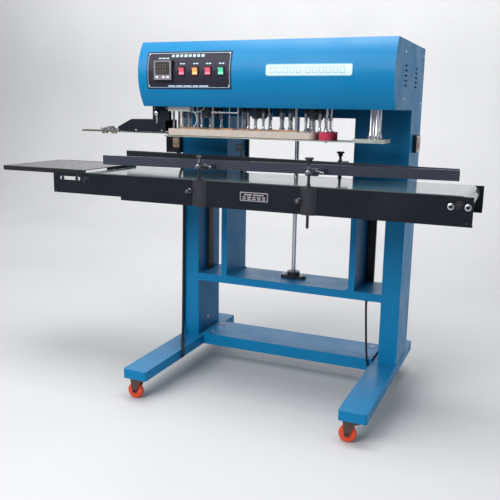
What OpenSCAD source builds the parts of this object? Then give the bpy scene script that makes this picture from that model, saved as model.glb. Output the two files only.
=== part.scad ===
// Continuous band sealer on a floor stand: a sealing head on two columns, and a belt conveyor
// that a screw raises and lowers under it. Lengths are in millimetres, +Z is up, the operator
// stands on the -Y side. Inside the modules x = 0 is the lift screw's axis, y = 0 the columns'
// front face and z = 0 the floor; at_machine() moves that to the middle of the machine's footprint.

/* [Frame] */
// Height of the machine to the top of the head
total_h = 1380; // [1340:5:1420]
// Width over both columns
span_w = 970; // [960:2:990]
// Width of an outer post
post_w = 75; // [70:1:80]
// Depth of an outer post
post_d = 210; // [200:1:215]
// Width of an inner upright
upright_w = 26; // [22:1:30]
// Open gap between an outer post and its inner upright
column_gap = 112; // [110:1:116]
// Wall of the posts and uprights
wall_t = 2.5; // [2:0.1:3]
// Reach of the feet in front of the columns
foot_front = 490; // [470:5:510]
// Reach of the feet behind the columns' front face
foot_back = 337; // [320:1:350]
// Width of a foot
foot_w = 102; // [96:1:104]
// Height of a foot's tube
foot_h = 39; // [36:1:42]
// Height of the lower beam
beam_h = 49; // [44:1:54]
// Height of the shelf's top face
shelf_top = 422; // [400:1:440]
// Thickness of the shelf
shelf_t = 33; // [30:1:36]

/* [Casters] */
// Height of a caster from the floor to the foot
caster_h = 95; // [92:1:98]
// Radius of a caster wheel
wheel_r = 32; // [30:0.5:34]
// Width of a caster wheel
wheel_w = 22; // [18:1:24]
// Distance from the swivel axis to the wheel axle
caster_trail = 24; // [22:1:26]

/* [Head] */
// Height of the head
head_h = 236; // [230:1:240]
// Reach of the head's flat top in front of the columns
head_front = 308; // [300:1:312]
// How far the curved front bulges past the flat top
head_bulge = 40; // [36:1:44]
// Thickness of the head's sheet metal
sheet_t = 1.6; // [1.2:0.1:2]

/* [Conveyor] */
// Reach of the side panels to the left of the screw
conv_left = 866; // [850:2:880]
// Reach of the side panels to the right of the screw
conv_right = 765; // [750:5:780]
// Front face of the front side panel, in front of the columns
conv_front = 392; // [380:2:400]
// Height of the side panels' top edge
conv_top = 880; // [870:1:884]
// Height of the side panels
conv_h = 96; // [90:1:100]
// Width of the belt
belt_w = 344; // [320:2:344]
// Radius of the two belt rollers
roller_r = 27.7; // [26:0.1:28]
// Reach of the infeed table to the left of the screw
table_left = 1125; // [1080:5:1150]

/* [Sealing] */
// Distance of the sealing line in front of the columns
seal_front = 205; // [200:1:210]
// Height of the lower edge of the sealing bands
band_z = 1035; // [1030:1:1040]
// Height of a sealing band
band_w = 25; // [20:1:26]
// Radius of the wheels that the bands run on
band_wheel_r = 20; // [18:0.5:20]
// Radius of the press wheels
press_r = 26; // [24:0.5:27]

/* [Hidden] */
$fn = 64;

blue = [0.12, 0.45, 0.68];
dark = [0.14, 0.14, 0.16];
steel = [0.75, 0.76, 0.78];

// Middle of the footprint, which the whole machine is centred on
mid_x = (conv_right - table_left) / 2;
mid_y = (foot_back - foot_front) / 2;

// Frame
half_w = span_w / 2;
post_x = half_w - post_w;
upright_x = post_x - column_gap - upright_w;
foot_z = caster_h;
foot_top = foot_z + foot_h;
foot_x = half_w - foot_w + 2;
beam_z = foot_z + 1;
shelf_d = 195;
shelf_skin = 4;
head_beam_h = 35;
head_beam_d = 40;
screw_y = 105;
screw_r = 9;
cover_drop = 10;
cover_z = conv_top - cover_drop;
duct_w = 36;

// Head: the front is an arc through the flat top's and flat bottom's front edges
head_z = total_h - head_h;
head_mid_z = head_z + head_h / 2;
arc_r = (head_h * head_h / 4 + head_bulge * head_bulge) / (2 * head_bulge);
arc_y = -head_front - head_bulge + arc_r;
chassis_t = 4;
chassis_z = head_z;
chassis_y = -head_front + 42;
cover_split_y = 60;
vent_w = 40;
vent_h = 6;
vent_pitch = 17;
vent_ys = [-156, 42];

// Control panel, nameplate, controller and rocker switches on the curved front
plate_t = 1.5;
panel_x = -446;
panel_w = 348;
panel_h = 134;
panel_z = head_mid_z + 13;
badge_x = 34;
badge_w = 312;
badge_h = 42;
badge_z = head_mid_z + 11;
controller_x = -371;
controller_w = 76;
controller_h = 72;
controller_t = 11;
key_w = 11;
key_h = 8;
key_t = 2;
key_z = panel_z - 25;
key_xs = [controller_x - 23, controller_x + 5, controller_x + 23];
rocker_xs = [-295, -240, -188, -136];
rocker_z = panel_z - 3;
rocker_w = 19;
rocker_h = 24;
rocker_tilt = 7;
bezel_w = 25;
bezel_h = 31;
bezel_t = 4;
bezel_back = 5;
key_depth = 5;
pivot_in = 2;

// Conveyor
conv_back = 20;
conv_z = conv_top - conv_h;
panel_t = 3;
step_x = -545;
step_h = 13;
belt_t = 3;
belt_gap = 0.3;
belt_in_r = roller_r + belt_gap;
belt_mid = -(conv_front + conv_back) / 2;
roller_z = conv_top - 1 - belt_in_r;
drive_x = conv_right - 42;
tail_x = -707;
axle_r = 8;
bearing_r = 15;
bearing_len = 9;
slot_x0 = -835;
slot_x1 = -735;
slot_h = 14;
slot_z = 857;
table_h = 12;
table_drop = 6;
table_sheet = 2;
table_right = tail_x - 3;

// Guide rails: each stands at a slant, so the lane narrows towards the outfeed
rail_h = 36;
rail_t = 12;
rail_z = conv_top + 35;
rail_mid_z = rail_z + rail_h / 2;
front_rail_ends = [[-652, -345], [700, -250]];
rear_rail_ends = [[-742, -40], [690, -190]];
bracket_xs = [-200, 222];
bracket_w = 60;
bracket_t = 14;
rod_r = 5;
cross_r = 4;
front_rod_y = -conv_front - 7;
rear_rod_y = -conv_back + 7;
clamp_w = 42;
clamp_d = 20;
clamp_h = 24;
cross_off = 14;
wing_knob = [-243, 839];
star_knob = [186, 832];
rod_top = rail_z + 58;
rod_bottom = conv_z - 46;
rod_fit = 0.05;
washer_t = 1.5;
flange_t = 12;
flange_bolt_x = 40;
guide_bar_t = 12;
guide_bar_half = 20;
shoe_half = 40;
shoe_fit = 0.5;
nut_box = 76;
nut_floor = 12;
nut_r = 18;
nut_h = 32;
nut_flange_t = 8;

// Sealing parts
seal_y = -seal_front;
band_t = 1.2;
band_gap = 0.3;
loop_r = band_wheel_r + band_gap + band_t;
loop_y = loop_r + 0.5;
band_left_x = -400;
band_right_x = 165;
shaft_r = 5;
shaft_top = head_z + 34;
rail_plate_z = band_z - 6;
rail_plate_t = 4;
rail_plate_w = 44;
rail_plate_x0 = -430;
rail_plate_x1 = 443;
rail_slot = 6;
infeed_tip_x = -842;
infeed_bar_t = 6;
infeed_bar_z = band_z + 3;
infeed_bar_w = 18;
thick_x = 330;
thick_top = rail_plate_z + 14;
nut_xs = [-741, -697];
press_x = 227;
infeed_roller_x = -712;
infeed_roller_r = 10;
hanger_r = 4.5;
seal_block_ends = [[-372, -150], [-120, 112]];
block_off = 8.5;
block_t = 12;
hanger_xs = [-366, -340, -109, 47, 81];
bridges = [[-269, -222], [-74, -13], [153, 205]];
bridge_off = 37;
bridge_d = 14;
bridge_h = 6;
bridge_in = 12;
bridge_foot_z = band_z + band_w + 3;
cup_r = 14;
cup_h = 20;
end_rod_xs = [388, 408];
end_rod_off = 24;
end_rod_r = 5;
plate_x0 = -404;
plate_x1 = -308;
plate_drop = 17;
guard_t = 3;
guard_d = 92;
guard_tip_x = -644;
guard_slope_x = -581;
guard_box_x = -482;
guard_right_x = -409;
guard_box_d = 22;
guard_foot_x = -425;
guard_z = 1093;
chain_z = chassis_z + 18;
chain_h = 6;
sprocket_r = 16;
gearbox = [[240, -110, 0], [330, -20, 80]];
motor_len = 120;
motor_r = 38;
blower_place = [-300, 60];
board = [[-180, -40, 0], [-60, 60, 6]];

// Casters: two under each foot
caster_in = 45;
caster_x = (half_w + foot_x) / 2;
caster_front_y = -foot_front + caster_in;
caster_rear_y = foot_back - caster_in;
fork_t = 2.5;

// Routes of the cables: from the left box down the post, over the foot and down its inner side,
// and from under the shelf down the front of the beam into the right foot
cable_r = 6;
left_cable = [[-500, -9, 949.8], [-500, -9, 935], [-496, -9, 915], [-488, -9, 890], [-481, -9, 860],
  [-477, -9, 800], [-476, -9, 700], [-478, -9, 560], [-480, -9, 420], [-482, -9, 280], [-483, -10, 200],
  [-481, -15, 168], [-473, -32, 148], [-460, -58, 141.5], [-436, -104, 141.5], [-411, -150, 141.5],
  [-392, -184, 143.5], [-378, -200, 141], [-374, -206, 129], [-374, -207, 116], [-376, -207, 109],
  [-379.5, -207, 105.5], [-384.4, -207, 105.5]];
right_cable_r = 4.5;
right_cable = [[350, 4, 388.5], [350, 3, 375], [352, 0, 340], [356, -4, 280], [360, -6, 220],
  [364, -6.5, 170], [368, -6.5, 138], [371, -6.5, 124],
  [375, -6.5, 115.5], [379, -6.5, 113], [384.4, -6.5, 113]];

module at_machine() translate([-mid_x, -mid_y, 0]) children();

// A block from its low corner to its high corner
module block(low, high) translate(low) cube(high - low);

// A flat box with rounded vertical edges
module slab(low, high, r) {
  block([low.x + r, low.y, low.z], [high.x - r, high.y, high.z]);
  block([low.x, low.y + r, low.z], [high.x, high.y - r, high.z]);
  for (x = [low.x + r, high.x - r], y = [low.y + r, high.y - r])
    translate([x, y, low.z]) cylinder(r = r, h = high.z - low.z);
}

// A square tube that stands along Z
module tube(low, high, t) difference() {
  block(low, high);
  block([low.x + t, low.y + t, low.z - 1], [high.x - t, high.y - t, high.z + 1]);
}

// The same part on the left and on the right
module both_sides() {
  children();
  mirror([1, 0, 0]) children();
}

// A rod along Y
module rod_y(x, y0, y1, z, r) translate([x, y0, z]) rotate([-90, 0, 0]) cylinder(r = r, h = y1 - y0);

// A rod along X
module rod_x(x0, x1, y, z, r) translate([x0, y, z]) rotate([0, 90, 0]) cylinder(r = r, h = x1 - x0);

// A hexagonal bolt head on its washer, facing +Z from the middle of a surface
module bolt(r) {
  cylinder(r = r * 1.7, h = washer_t);
  translate([0, 0, washer_t]) cylinder(r = r, h = 4, $fn = 6);
}
module bolt_z(x, y, z, r) translate([x, y, z]) bolt(r);
module bolt_x(x, y, z, r) translate([x, y, z]) rotate([0, -90, 0]) bolt(r);

// A tube of radius r that follows the points of a route
cable_sides = 8;
function unit(v) = v / norm(v);
function route_dir(p, i) = unit(p[min(i + 1, len(p) - 1)] - p[max(i - 1, 0)]);
function side_dir(d) = unit(cross(d, [0, 1, 0.03]));
function ring(p, i, r) = [for (k = [0 : cable_sides - 1])
  let (d = route_dir(p, i), u = side_dir(d), v = cross(d, u), a = k * 360 / cable_sides)
  p[i] + r * (cos(a) * u + sin(a) * v)];
module sweep(p, r) {
  n = cable_sides;
  last = (len(p) - 1) * n;
  points = [for (i = [0 : len(p) - 1]) each ring(p, i, r)];
  walls = [for (i = [0 : len(p) - 2], k = [0 : n - 1])
    [i * n + k, i * n + (k + 1) % n, (i + 1) * n + (k + 1) % n, (i + 1) * n + k]];
  start = [[for (k = [n - 1 : -1 : 0]) k]];
  end = [[for (k = [0 : n - 1]) last + k]];
  polyhedron(points, concat(walls, start, end));
}

// ---------- Frame ----------

module foot_beams() color(blue) at_machine() both_sides() difference() {
  slab([foot_x, -foot_front, foot_z], [half_w + 2, foot_back, foot_top], 6);
  block([foot_x + wall_t, -foot_front + 6, foot_z + wall_t], [half_w + 2 - wall_t, foot_back - 6,
    foot_top - wall_t]);
  for (y = [caster_front_y, caster_rear_y])
    translate([caster_x, y, foot_z - 1]) cylinder(r = screw_r, h = 8);
}

module cross_members() color(blue) at_machine() {
  difference() {
    block([-foot_x, 0, beam_z], [foot_x, shelf_d, beam_z + beam_h]);
    block([-foot_x - 1, wall_t, beam_z + wall_t], [foot_x + 1, shelf_d - wall_t, beam_z + beam_h - wall_t]);
  }
  difference() {
    block([-post_x, 0, shelf_top - shelf_t], [post_x, shelf_d, shelf_top]);
    block([-post_x - 1, wall_t, shelf_top - shelf_t - 1], [post_x + 1, shelf_d - wall_t,
      shelf_top - shelf_skin]);
    translate([0, screw_y, shelf_top - shelf_t - 1]) cylinder(r = screw_r + 4, h = shelf_t + 2);
  }
  difference() {
    block([-upright_x, 0, head_z - head_beam_h], [upright_x, head_beam_d, head_z]);
    block([-upright_x - 1, wall_t, head_z - head_beam_h + wall_t], [upright_x + 1, head_beam_d + 1,
      head_z - wall_t]);
  }
}

module outer_posts() color(blue) at_machine() both_sides()
  tube([post_x, 0, foot_top], [half_w, post_d, head_z], wall_t);

module inner_uprights() color(blue) at_machine() both_sides() {
  tube([upright_x, 0, shelf_top], [upright_x + upright_w, post_d - 5, head_z], wall_t);
  block([upright_x - 12, 8, shelf_top], [upright_x, post_d - 20, shelf_top + 5]);
}

module column_covers() color(blue) at_machine() both_sides() {
  block([upright_x, -2, cover_z], [half_w, 0, head_z]);
  block([upright_x, post_d, cover_z], [half_w, post_d + 2, head_z]);
}

module flange_bearing() difference() {
  union() {
    slab([-56, -20, 0], [56, 20, flange_t], 18);
    cylinder(r = 27, h = 30);
  }
  translate([0, 0, -1]) cylinder(r = screw_r + rod_fit, h = 33);
}

module lift_guides() color(steel) at_machine() {
  both_sides() block([post_x - guide_bar_t, screw_y - guide_bar_half, shelf_top],
    [post_x, screw_y + guide_bar_half, head_z - 4]);
  translate([0, screw_y, shelf_top]) flange_bearing();
  translate([0, screw_y, chassis_z + chassis_t]) flange_bearing();
}

module frame_bolts() color(steel) at_machine() {
  for (x = [-flange_bolt_x, flange_bolt_x]) bolt_z(x, screw_y, shelf_top + flange_t, 6.5);
  both_sides() for (y = [40, 150]) bolt_z(foot_x - 30, y, beam_z + beam_h, 6);
  both_sides() for (z = [foot_top + 22, foot_top + 60]) bolt_x(post_x, 94, z, 5);
}

// ---------- Head ----------

// Side outline of the head, y to the right and z up, moved inwards by inset
module head_outline(inset) {
  intersection() {
    translate([arc_y, head_mid_z]) circle(r = arc_r - inset, $fn = 180);
    translate([-head_front - head_bulge, head_z + inset])
      square([arc_y + head_front + head_bulge, head_h - 2 * inset]);
  }
  translate([arc_y - 1, head_z + inset]) square([post_d - arc_y + 1 - inset, head_h - 2 * inset]);
}

// Stands an outline drawn in y and z up in space, from x0 to x1
module along_x(x0, x1) translate([x0, 0, 0]) rotate([90, 0, 90]) linear_extrude(x1 - x0) children();

// The curved front between two heights, out from the head's skin by low and to high
module skin_plate(x0, x1, z0, z1, low, high) along_x(x0, x1) difference() {
  intersection() {
    translate([arc_y, head_mid_z]) circle(r = arc_r + high, $fn = 180);
    translate([-head_front - head_bulge - 10, z0]) square([head_front, z1 - z0]);
  }
  translate([arc_y, head_mid_z]) circle(r = arc_r + low, $fn = 180);
}

module head_shell() along_x(-half_w + sheet_t, half_w - sheet_t) difference() {
  head_outline(0);
  head_outline(sheet_t);
}

module chassis_floor() difference() {
  block([-half_w + sheet_t, chassis_y, chassis_z], [half_w - sheet_t, post_d - sheet_t,
    chassis_z + chassis_t]);
  for (x = [band_left_x, band_right_x], s = [-1, 1])
    translate([x, seal_y + s * loop_y, chassis_z - 1]) cylinder(r = shaft_r + 2, h = chassis_t + 2);
  for (s = [-1, 1])
    translate([press_x, seal_y + s * (press_r + 0.5), chassis_z - 1])
      cylinder(r = shaft_r + 2, h = chassis_t + 2);
  translate([0, screw_y, chassis_z - 1]) cylinder(r = screw_r + 4, h = chassis_t + 2);
}

module end_plates() both_sides() difference() {
  along_x(half_w - sheet_t, half_w) head_outline(0);
  for (y = vent_ys, k = [-2 : 2])
    block([half_w - 5, y - vent_w / 2, head_mid_z + k * vent_pitch - vent_h / 2],
      [half_w + 5, y + vent_w / 2, head_mid_z + k * vent_pitch + vent_h / 2]);
}

// Floor of the head, with both vented end plates and the hangers' stiffening plate welded on
module head_chassis() color(blue) at_machine() {
  chassis_floor();
  end_plates();
  block([plate_x0, seal_y - 60, head_z - plate_drop], [plate_x1, seal_y - 32, head_z]);
}

module head_cover() color(blue) at_machine() intersection() {
  head_shell();
  union() {
    block([-half_w, -head_front - head_bulge - 1, head_z - 1], [half_w, chassis_y, total_h + 1]);
    block([-half_w, -head_front, total_h - 20], [half_w, cover_split_y, total_h + 1]);
  }
}

module head_rear_cover() color(blue) at_machine() intersection() {
  head_shell();
  union() {
    block([-half_w, cover_split_y + 0.5, total_h - 20], [half_w, post_d + 1, total_h + 1]);
    block([-half_w, post_d - 20, chassis_z + chassis_t], [half_w, post_d + 1, total_h + 1]);
  }
}

module front_plates() color(dark) at_machine() {
  skin_plate(panel_x, panel_x + panel_w, panel_z - panel_h / 2, panel_z + panel_h / 2, 0, plate_t);
  skin_plate(badge_x, badge_x + badge_w, badge_z - badge_h / 2, badge_z + badge_h / 2, 0, plate_t);
}

// Foremost y of the curved front, with the control panel on it
front_y = arc_y - arc_r - plate_t;
bezel_y = front_y - bezel_t;
pivot_y = front_y + pivot_in;

// The solid that the panel's face is the skin of, between two positions along X
module behind_panel(x0, x1) along_x(x0, x1)
  translate([arc_y, head_mid_z]) circle(r = arc_r + plate_t, $fn = 180);

module panel_bezels() color(dark) at_machine() {
  difference() {
    block([controller_x - controller_w / 2, front_y - controller_t, panel_z - controller_h / 2],
      [controller_x + controller_w / 2, front_y + bezel_back, panel_z + controller_h / 2]);
    behind_panel(controller_x - controller_w, controller_x + controller_w);
    for (x = key_xs)
      block([x - key_w / 2 - 0.4, front_y - controller_t - 1, key_z - key_h / 2 - 0.4],
        [x + key_w / 2 + 0.4, front_y - controller_t + key_depth, key_z + key_h / 2 + 0.4]);
  }
  for (x = rocker_xs) difference() {
    block([x - bezel_w / 2, bezel_y, rocker_z - bezel_h / 2],
      [x + bezel_w / 2, front_y + bezel_back, rocker_z + bezel_h / 2]);
    behind_panel(x - bezel_w, x + bezel_w);
    block([x - rocker_w / 2 - 0.5, bezel_y - 1, rocker_z - rocker_h / 2 - 1.5],
      [x + rocker_w / 2 + 0.5, front_y + 1, rocker_z + rocker_h / 2 + 1.5]);
  }
}

// A rocker with a hollowed face, tipped about its pivot
module rocker(x, c) color(c) at_machine()
  translate([x, pivot_y, rocker_z]) rotate([rocker_tilt, 0, 0]) difference() {
    block([-rocker_w / 2, -9.5, -rocker_h / 2], [rocker_w / 2, -3.8, rocker_h / 2]);
    translate([-rocker_w, -34.5, 0]) rotate([0, 90, 0]) cylinder(r = 26.5, h = 2 * rocker_w, $fn = 128);
  }

module controller_key(i) color("white") at_machine()
  block([key_xs[i] - key_w / 2, front_y - controller_t - key_t, key_z - key_h / 2],
    [key_xs[i] + key_w / 2, front_y - controller_t + 3, key_z + key_h / 2]);

// A flat loop around two equal circles whose centres lie at x0 and x1
module loop(x0, x1, y, z, r, t, h) difference() {
  union() {
    for (x = [x0, x1]) translate([x, y, z]) cylinder(r = r + t, h = h);
    block([x0, y - r - t, z], [x1, y + r + t, z + h]);
  }
  for (x = [x0, x1]) translate([x, y, z - 1]) cylinder(r = r, h = h + 2);
  block([x0, y - r, z - 1], [x1, y + r, z + h + 1]);
}

// Gearmotor, blower and electronics on the chassis, and the chain loops that turn the band wheels
module head_machinery() color("dimgray") at_machine() {
  floor_z = chassis_z + chassis_t;
  slab(gearbox[0] + [0, 0, floor_z], gearbox[1] + [0, 0, floor_z], 8);
  rod_x(gearbox[1].x, gearbox[1].x + motor_len, (gearbox[0].y + gearbox[1].y) / 2, floor_z + 42, motor_r);
  translate([blower_place[0], blower_place[1], floor_z]) cylinder(r = 60, h = 55);
  block(board[0] + [0, 0, floor_z], board[1] + [0, 0, floor_z]);
  for (s = [-1, 1])
    loop(band_left_x, band_right_x, seal_y + s * loop_y, chain_z, sprocket_r + 0.4, 2.5, chain_h);
}

// ---------- Sealing unit ----------

// The plate on one side of the sealing line, thicker past the press wheels, and its infeed bar
module seal_rail() {
  y0 = seal_y - rail_slot / 2 - rail_plate_w;
  y1 = seal_y - rail_slot / 2;
  block([rail_plate_x0, y0, rail_plate_z], [rail_plate_x1, y1, rail_plate_z + rail_plate_t]);
  block([thick_x, y0, rail_plate_z + rail_plate_t], [rail_plate_x1, y1, thick_top]);
  block([rail_plate_x0, y1 - infeed_bar_w, rail_plate_z + rail_plate_t],
    [rail_plate_x0 + 6, y1, infeed_bar_z + infeed_bar_t]);
  block([infeed_tip_x, y1 - infeed_bar_w, infeed_bar_z], [rail_plate_x0 + 6, y1,
    infeed_bar_z + infeed_bar_t]);
  for (x = nut_xs) translate([x, y1 - 9, infeed_bar_z - 8]) cylinder(r = 6, h = 8, $fn = 6);
}

module seal_rails() color(steel) at_machine() {
  seal_rail();
  translate([0, 2 * seal_y, 0]) mirror([0, 1, 0]) seal_rail();
}

// On one side of the sealing line: posts, bridges with their spring cups, and the end rods, all
// hung from the chassis
module hangers(s) color(steel) at_machine() {
  for (x = hanger_xs)
    translate([x, seal_y + s * block_off, band_z + band_w + 5])
      cylinder(r = hanger_r, h = chassis_z - band_z - band_w - 5);
  y = seal_y + s * bridge_off;
  for (b = bridges) {
    for (x = b)
      translate([x, y, bridge_foot_z]) cylinder(r = hanger_r, h = chassis_z - bridge_foot_z);
    block([b[0] - 5, y - bridge_d / 2, head_z - bridge_in - bridge_h],
      [b[1] + 5, y + bridge_d / 2, head_z - bridge_in]);
    translate([(b[0] + b[1]) / 2, y, head_z - bridge_in - bridge_h - cup_h]) cylinder(r = cup_r, h = cup_h);
  }
  for (x = end_rod_xs) {
    translate([x, seal_y + s * end_rod_off, thick_top]) cylinder(r = end_rod_r, h = chassis_z - thick_top);
    translate([x, seal_y + s * end_rod_off, thick_top]) cylinder(r = end_rod_r + 4, h = 9);
  }
}

// Heating block, then cooling block, on each side of the two bands that they press together
module seal_blocks() color("peru") at_machine() for (s = [-1, 1], ends = seal_block_ends) {
  y = seal_y + s * block_off;
  block([ends[0], y - block_t / 2, band_z - 1], [ends[1], y + block_t / 2, band_z + band_w + 5]);
}

module sealing_bands() color("tan") at_machine() for (s = [-1, 1])
  loop(band_left_x, band_right_x, seal_y + s * loop_y, band_z, band_wheel_r + band_gap, band_t, band_w);

// A vertical shaft with its wheel at the bottom and its sprocket at the top
module band_wheel(x, s) color(steel) at_machine() translate([x, seal_y + s * loop_y, 0]) {
  translate([0, 0, band_z - 0.5]) cylinder(r = band_wheel_r, h = band_w + 1);
  translate([0, 0, band_z]) cylinder(r = shaft_r, h = shaft_top - band_z);
  translate([0, 0, chain_z]) cylinder(r = sprocket_r, h = chain_h);
}

// A ribbed press wheel on its vertical shaft
module press_wheel(s) color([0.75, 0.25, 0.35]) at_machine()
  translate([press_x, seal_y + s * (press_r + 0.5), 0]) {
    difference() {
      translate([0, 0, band_z - 1]) cylinder(r = press_r, h = band_w + 3);
      for (k = [0 : 23]) rotate([0, 0, k * 15]) translate([press_r + 1, 0, band_z - 2])
        cylinder(r = 2, h = band_w + 5, $fn = 16);
    }
    translate([0, 0, band_z]) cylinder(r = shaft_r, h = shaft_top - band_z);
  }

module infeed_roller(s) color(steel) at_machine()
  translate([infeed_roller_x, seal_y + s * (infeed_roller_r + 1), infeed_bar_z + infeed_bar_t + 0.5])
    cylinder(r = infeed_roller_r, h = 16);

// Outline of the infeed hood, x to the right and z up, moved inwards by inset; open ends move out
module guard_outline(inset, z0) {
  out = inset > 0 ? 4 : 0;
  polygon([[guard_tip_x - out, z0], [guard_tip_x - out, band_z + 27 - inset],
    [guard_slope_x + inset / 2, guard_z - inset], [guard_foot_x + out, guard_z - inset],
    [guard_foot_x + out, z0]]);
}

// Hood over the infeed: a sloping channel, open below and at both ends, with a box on top
module infeed_guard() color(dark) at_machine() {
  low = infeed_bar_z + infeed_bar_t + 1;
  front = seal_y + guard_d / 2;
  translate([0, front, 0]) rotate([90, 0, 0]) difference() {
    linear_extrude(guard_d) guard_outline(0, low);
    translate([0, 0, guard_t]) linear_extrude(guard_d - 2 * guard_t) guard_outline(guard_t, low - 2);
  }
  tube([guard_box_x, seal_y - guard_d / 2, guard_z - guard_t],
    [guard_right_x, seal_y - guard_d / 2 + guard_box_d, head_z], guard_t);
}

// ---------- Cables ----------

module cables() color(dark) at_machine() {
  sweep(left_cable, cable_r);
  sweep(right_cable, right_cable_r);
}

// Box on the left column that the cable leaves, inlet box on the right one, and the cable ducts
// beside the uprights
module cable_boxes() color(dark) at_machine() {
  slab([-half_w - 72, -24, 950], [-half_w, 46, 1018], 8);
  slab([half_w, 60, 984], [half_w + 14, 140, 1050], 4);
  slab([-upright_x, post_d - 22, conv_top + 10], [-upright_x + 14, post_d - 6, head_z], 4);
  slab([upright_x + upright_w, post_d - 22, shelf_top], [upright_x + upright_w + duct_w, post_d - 6, head_z], 4);
}

// ---------- Conveyor ----------

// One side panel, its lower flange on the +Y side
module side_panel() difference() {
  union() {
    block([-conv_left, 0, conv_z + step_h], [step_x, panel_t, conv_top]);
    block([step_x - 0.01, 0, conv_z], [conv_right, panel_t, conv_top]);
    block([step_x, 0, conv_z], [conv_right, 22, conv_z + panel_t]);
    block([-conv_left, 0, conv_z + step_h], [step_x, 22, conv_z + step_h + panel_t]);
  }
  block([slot_x0 + slot_h / 2, -1, slot_z - slot_h / 2], [slot_x1 - slot_h / 2, panel_t + 1,
    slot_z + slot_h / 2]);
  for (x = [slot_x0 + slot_h / 2, slot_x1 - slot_h / 2]) rod_y(x, -1, panel_t + 1, slot_z, slot_h / 2);
}

module conveyor_panels() color(dark) at_machine() {
  translate([0, -conv_front, 0]) side_panel();
  translate([0, -conv_back, 0]) mirror([0, 1, 0]) side_panel();
}

// A roller bearing that starts at y on the inside of a side panel
module roller_bearing(x, y) difference() {
  rod_y(x, y, y + bearing_len, roller_z, bearing_r);
  rod_y(x, y - 1, y + bearing_len + 1, roller_z, axle_r + rod_fit);
}

// Slider plate under the belt's upper run, the cross tubes that tie the panels, and the bearings
module conveyor_bed() color(steel) at_machine() {
  block([tail_x + 40, belt_mid - belt_w / 2 + 10, conv_top - 5], [drive_x - 40, belt_mid + belt_w / 2 - 10,
    conv_top - 2]);
  for (x = [-620, -310, 0, 310, 640]) {
    difference() {
      rod_y(x, -conv_front + panel_t, -conv_back - panel_t, roller_z, 12);
      rod_y(x, -conv_front, -conv_back, roller_z, 9.5);
    }
    block([x - 2, belt_mid - belt_w / 2 + 20, roller_z + 11], [x + 2, belt_mid + belt_w / 2 - 20,
      conv_top - 5]);
  }
  for (x = [drive_x, tail_x], y = [-conv_front + panel_t, -conv_back - panel_t - bearing_len])
    roller_bearing(x, y);
}

module conveyor_belt() color([0.35, 0.42, 0.4]) at_machine()
  translate([0, belt_mid + belt_w / 2, roller_z]) rotate([90, 0, 0])
    loop(tail_x, drive_x, 0, 0, belt_in_r, belt_t, belt_w);

// A hollow roller on its axle, which turns in the bearings
module belt_roller(x) {
  y0 = -conv_front + panel_t + bearing_len + 2;
  y1 = -conv_back - panel_t - bearing_len - 2;
  difference() {
    rod_y(x, y0, y1, roller_z, roller_r);
    rod_y(x, y0 + 8, y1 - 8, roller_z, roller_r - 3);
  }
  rod_y(x, y0 - bearing_len - 1, y1 + bearing_len + 1, roller_z, axle_r);
}
module drive_roller() color(steel) at_machine() belt_roller(drive_x);
module tail_roller() color(steel) at_machine() belt_roller(tail_x);

module infeed_table() color([0.55, 0.55, 0.58]) at_machine() {
  y0 = -conv_front;
  y1 = -conv_back;
  top = conv_top + table_h;
  block([-table_left, y0, top - table_sheet], [table_right, y1, top]);
  for (y = [y0, y1 - table_sheet]) {
    block([-table_left, y, conv_top], [table_right, y + table_sheet, top]);
    block([-table_left, y, conv_top - table_drop], [-conv_left - 1, y + table_sheet, top]);
  }
  block([-table_left, y0, conv_top - table_drop], [-table_left + table_sheet, y1, top]);
}

// Sleeve on a side panel, its rod, and the clamp block that the rail's cross rod slides in
module rail_bracket(x, rod_y0, out, bottom) {
  wall_y = out < 0 ? -conv_front : -conv_back;
  intersection() {
    translate([x, wall_y - out * 30, conv_z]) cylinder(r = 30 + bracket_t, h = conv_h);
    block([x - bracket_w / 2, min(wall_y, wall_y + out * bracket_t), conv_z],
      [x + bracket_w / 2, max(wall_y, wall_y + out * bracket_t), conv_top]);
  }
  translate([x, rod_y0, bottom]) cylinder(r = rod_r, h = rod_top - 10 - bottom);
  difference() {
    block([x - 10, rod_y0 - clamp_d / 2, rail_mid_z - clamp_h / 2], [x - 10 + clamp_w, rod_y0 + clamp_d / 2,
      rail_mid_z + clamp_h / 2]);
    rod_y(x + cross_off + 6, rod_y0 - clamp_d, rod_y0 + clamp_d, rail_mid_z, cross_r + rod_fit);
  }
}

module rail_brackets() color(dark) at_machine() for (x = bracket_xs) {
  rail_bracket(x, front_rod_y, -1, x > 0 ? rod_bottom : conv_z);
  rail_bracket(x, rear_rod_y, 1, conv_z);
}

// Height of a rail's line at x
function rail_y(ends, x) = ends[0].y + (ends[1].y - ends[0].y) * (x - ends[0].x) / (ends[1].x - ends[0].x);

// A slanted rail and the cross rods that carry it, out towards the clamps
module guide_rail(ends, rod_y0, out) {
  run = ends[1] - ends[0];
  translate([ends[0].x, ends[0].y, rail_z]) rotate([0, 0, atan2(run.y, run.x)])
    translate([0, -rail_t / 2, 0]) cube([norm(run), rail_t, rail_h]);
  for (x = bracket_xs) {
    rx = x + cross_off + 6;
    ry = rail_y(ends, rx);
    rod_y(rx, min(ry, rod_y0 + out * 40), max(ry, rod_y0 + out * 40), rail_mid_z, cross_r);
    rod_y(rx, ry + (out < 0 ? -16 : 0), ry + (out < 0 ? 0 : 16), rail_mid_z, 9);
  }
}
module front_rail() color(dark) at_machine() guide_rail(front_rail_ends, front_rod_y, -1);
module rear_rail() color(dark) at_machine() guide_rail(rear_rail_ends, rear_rod_y, 1);

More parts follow.
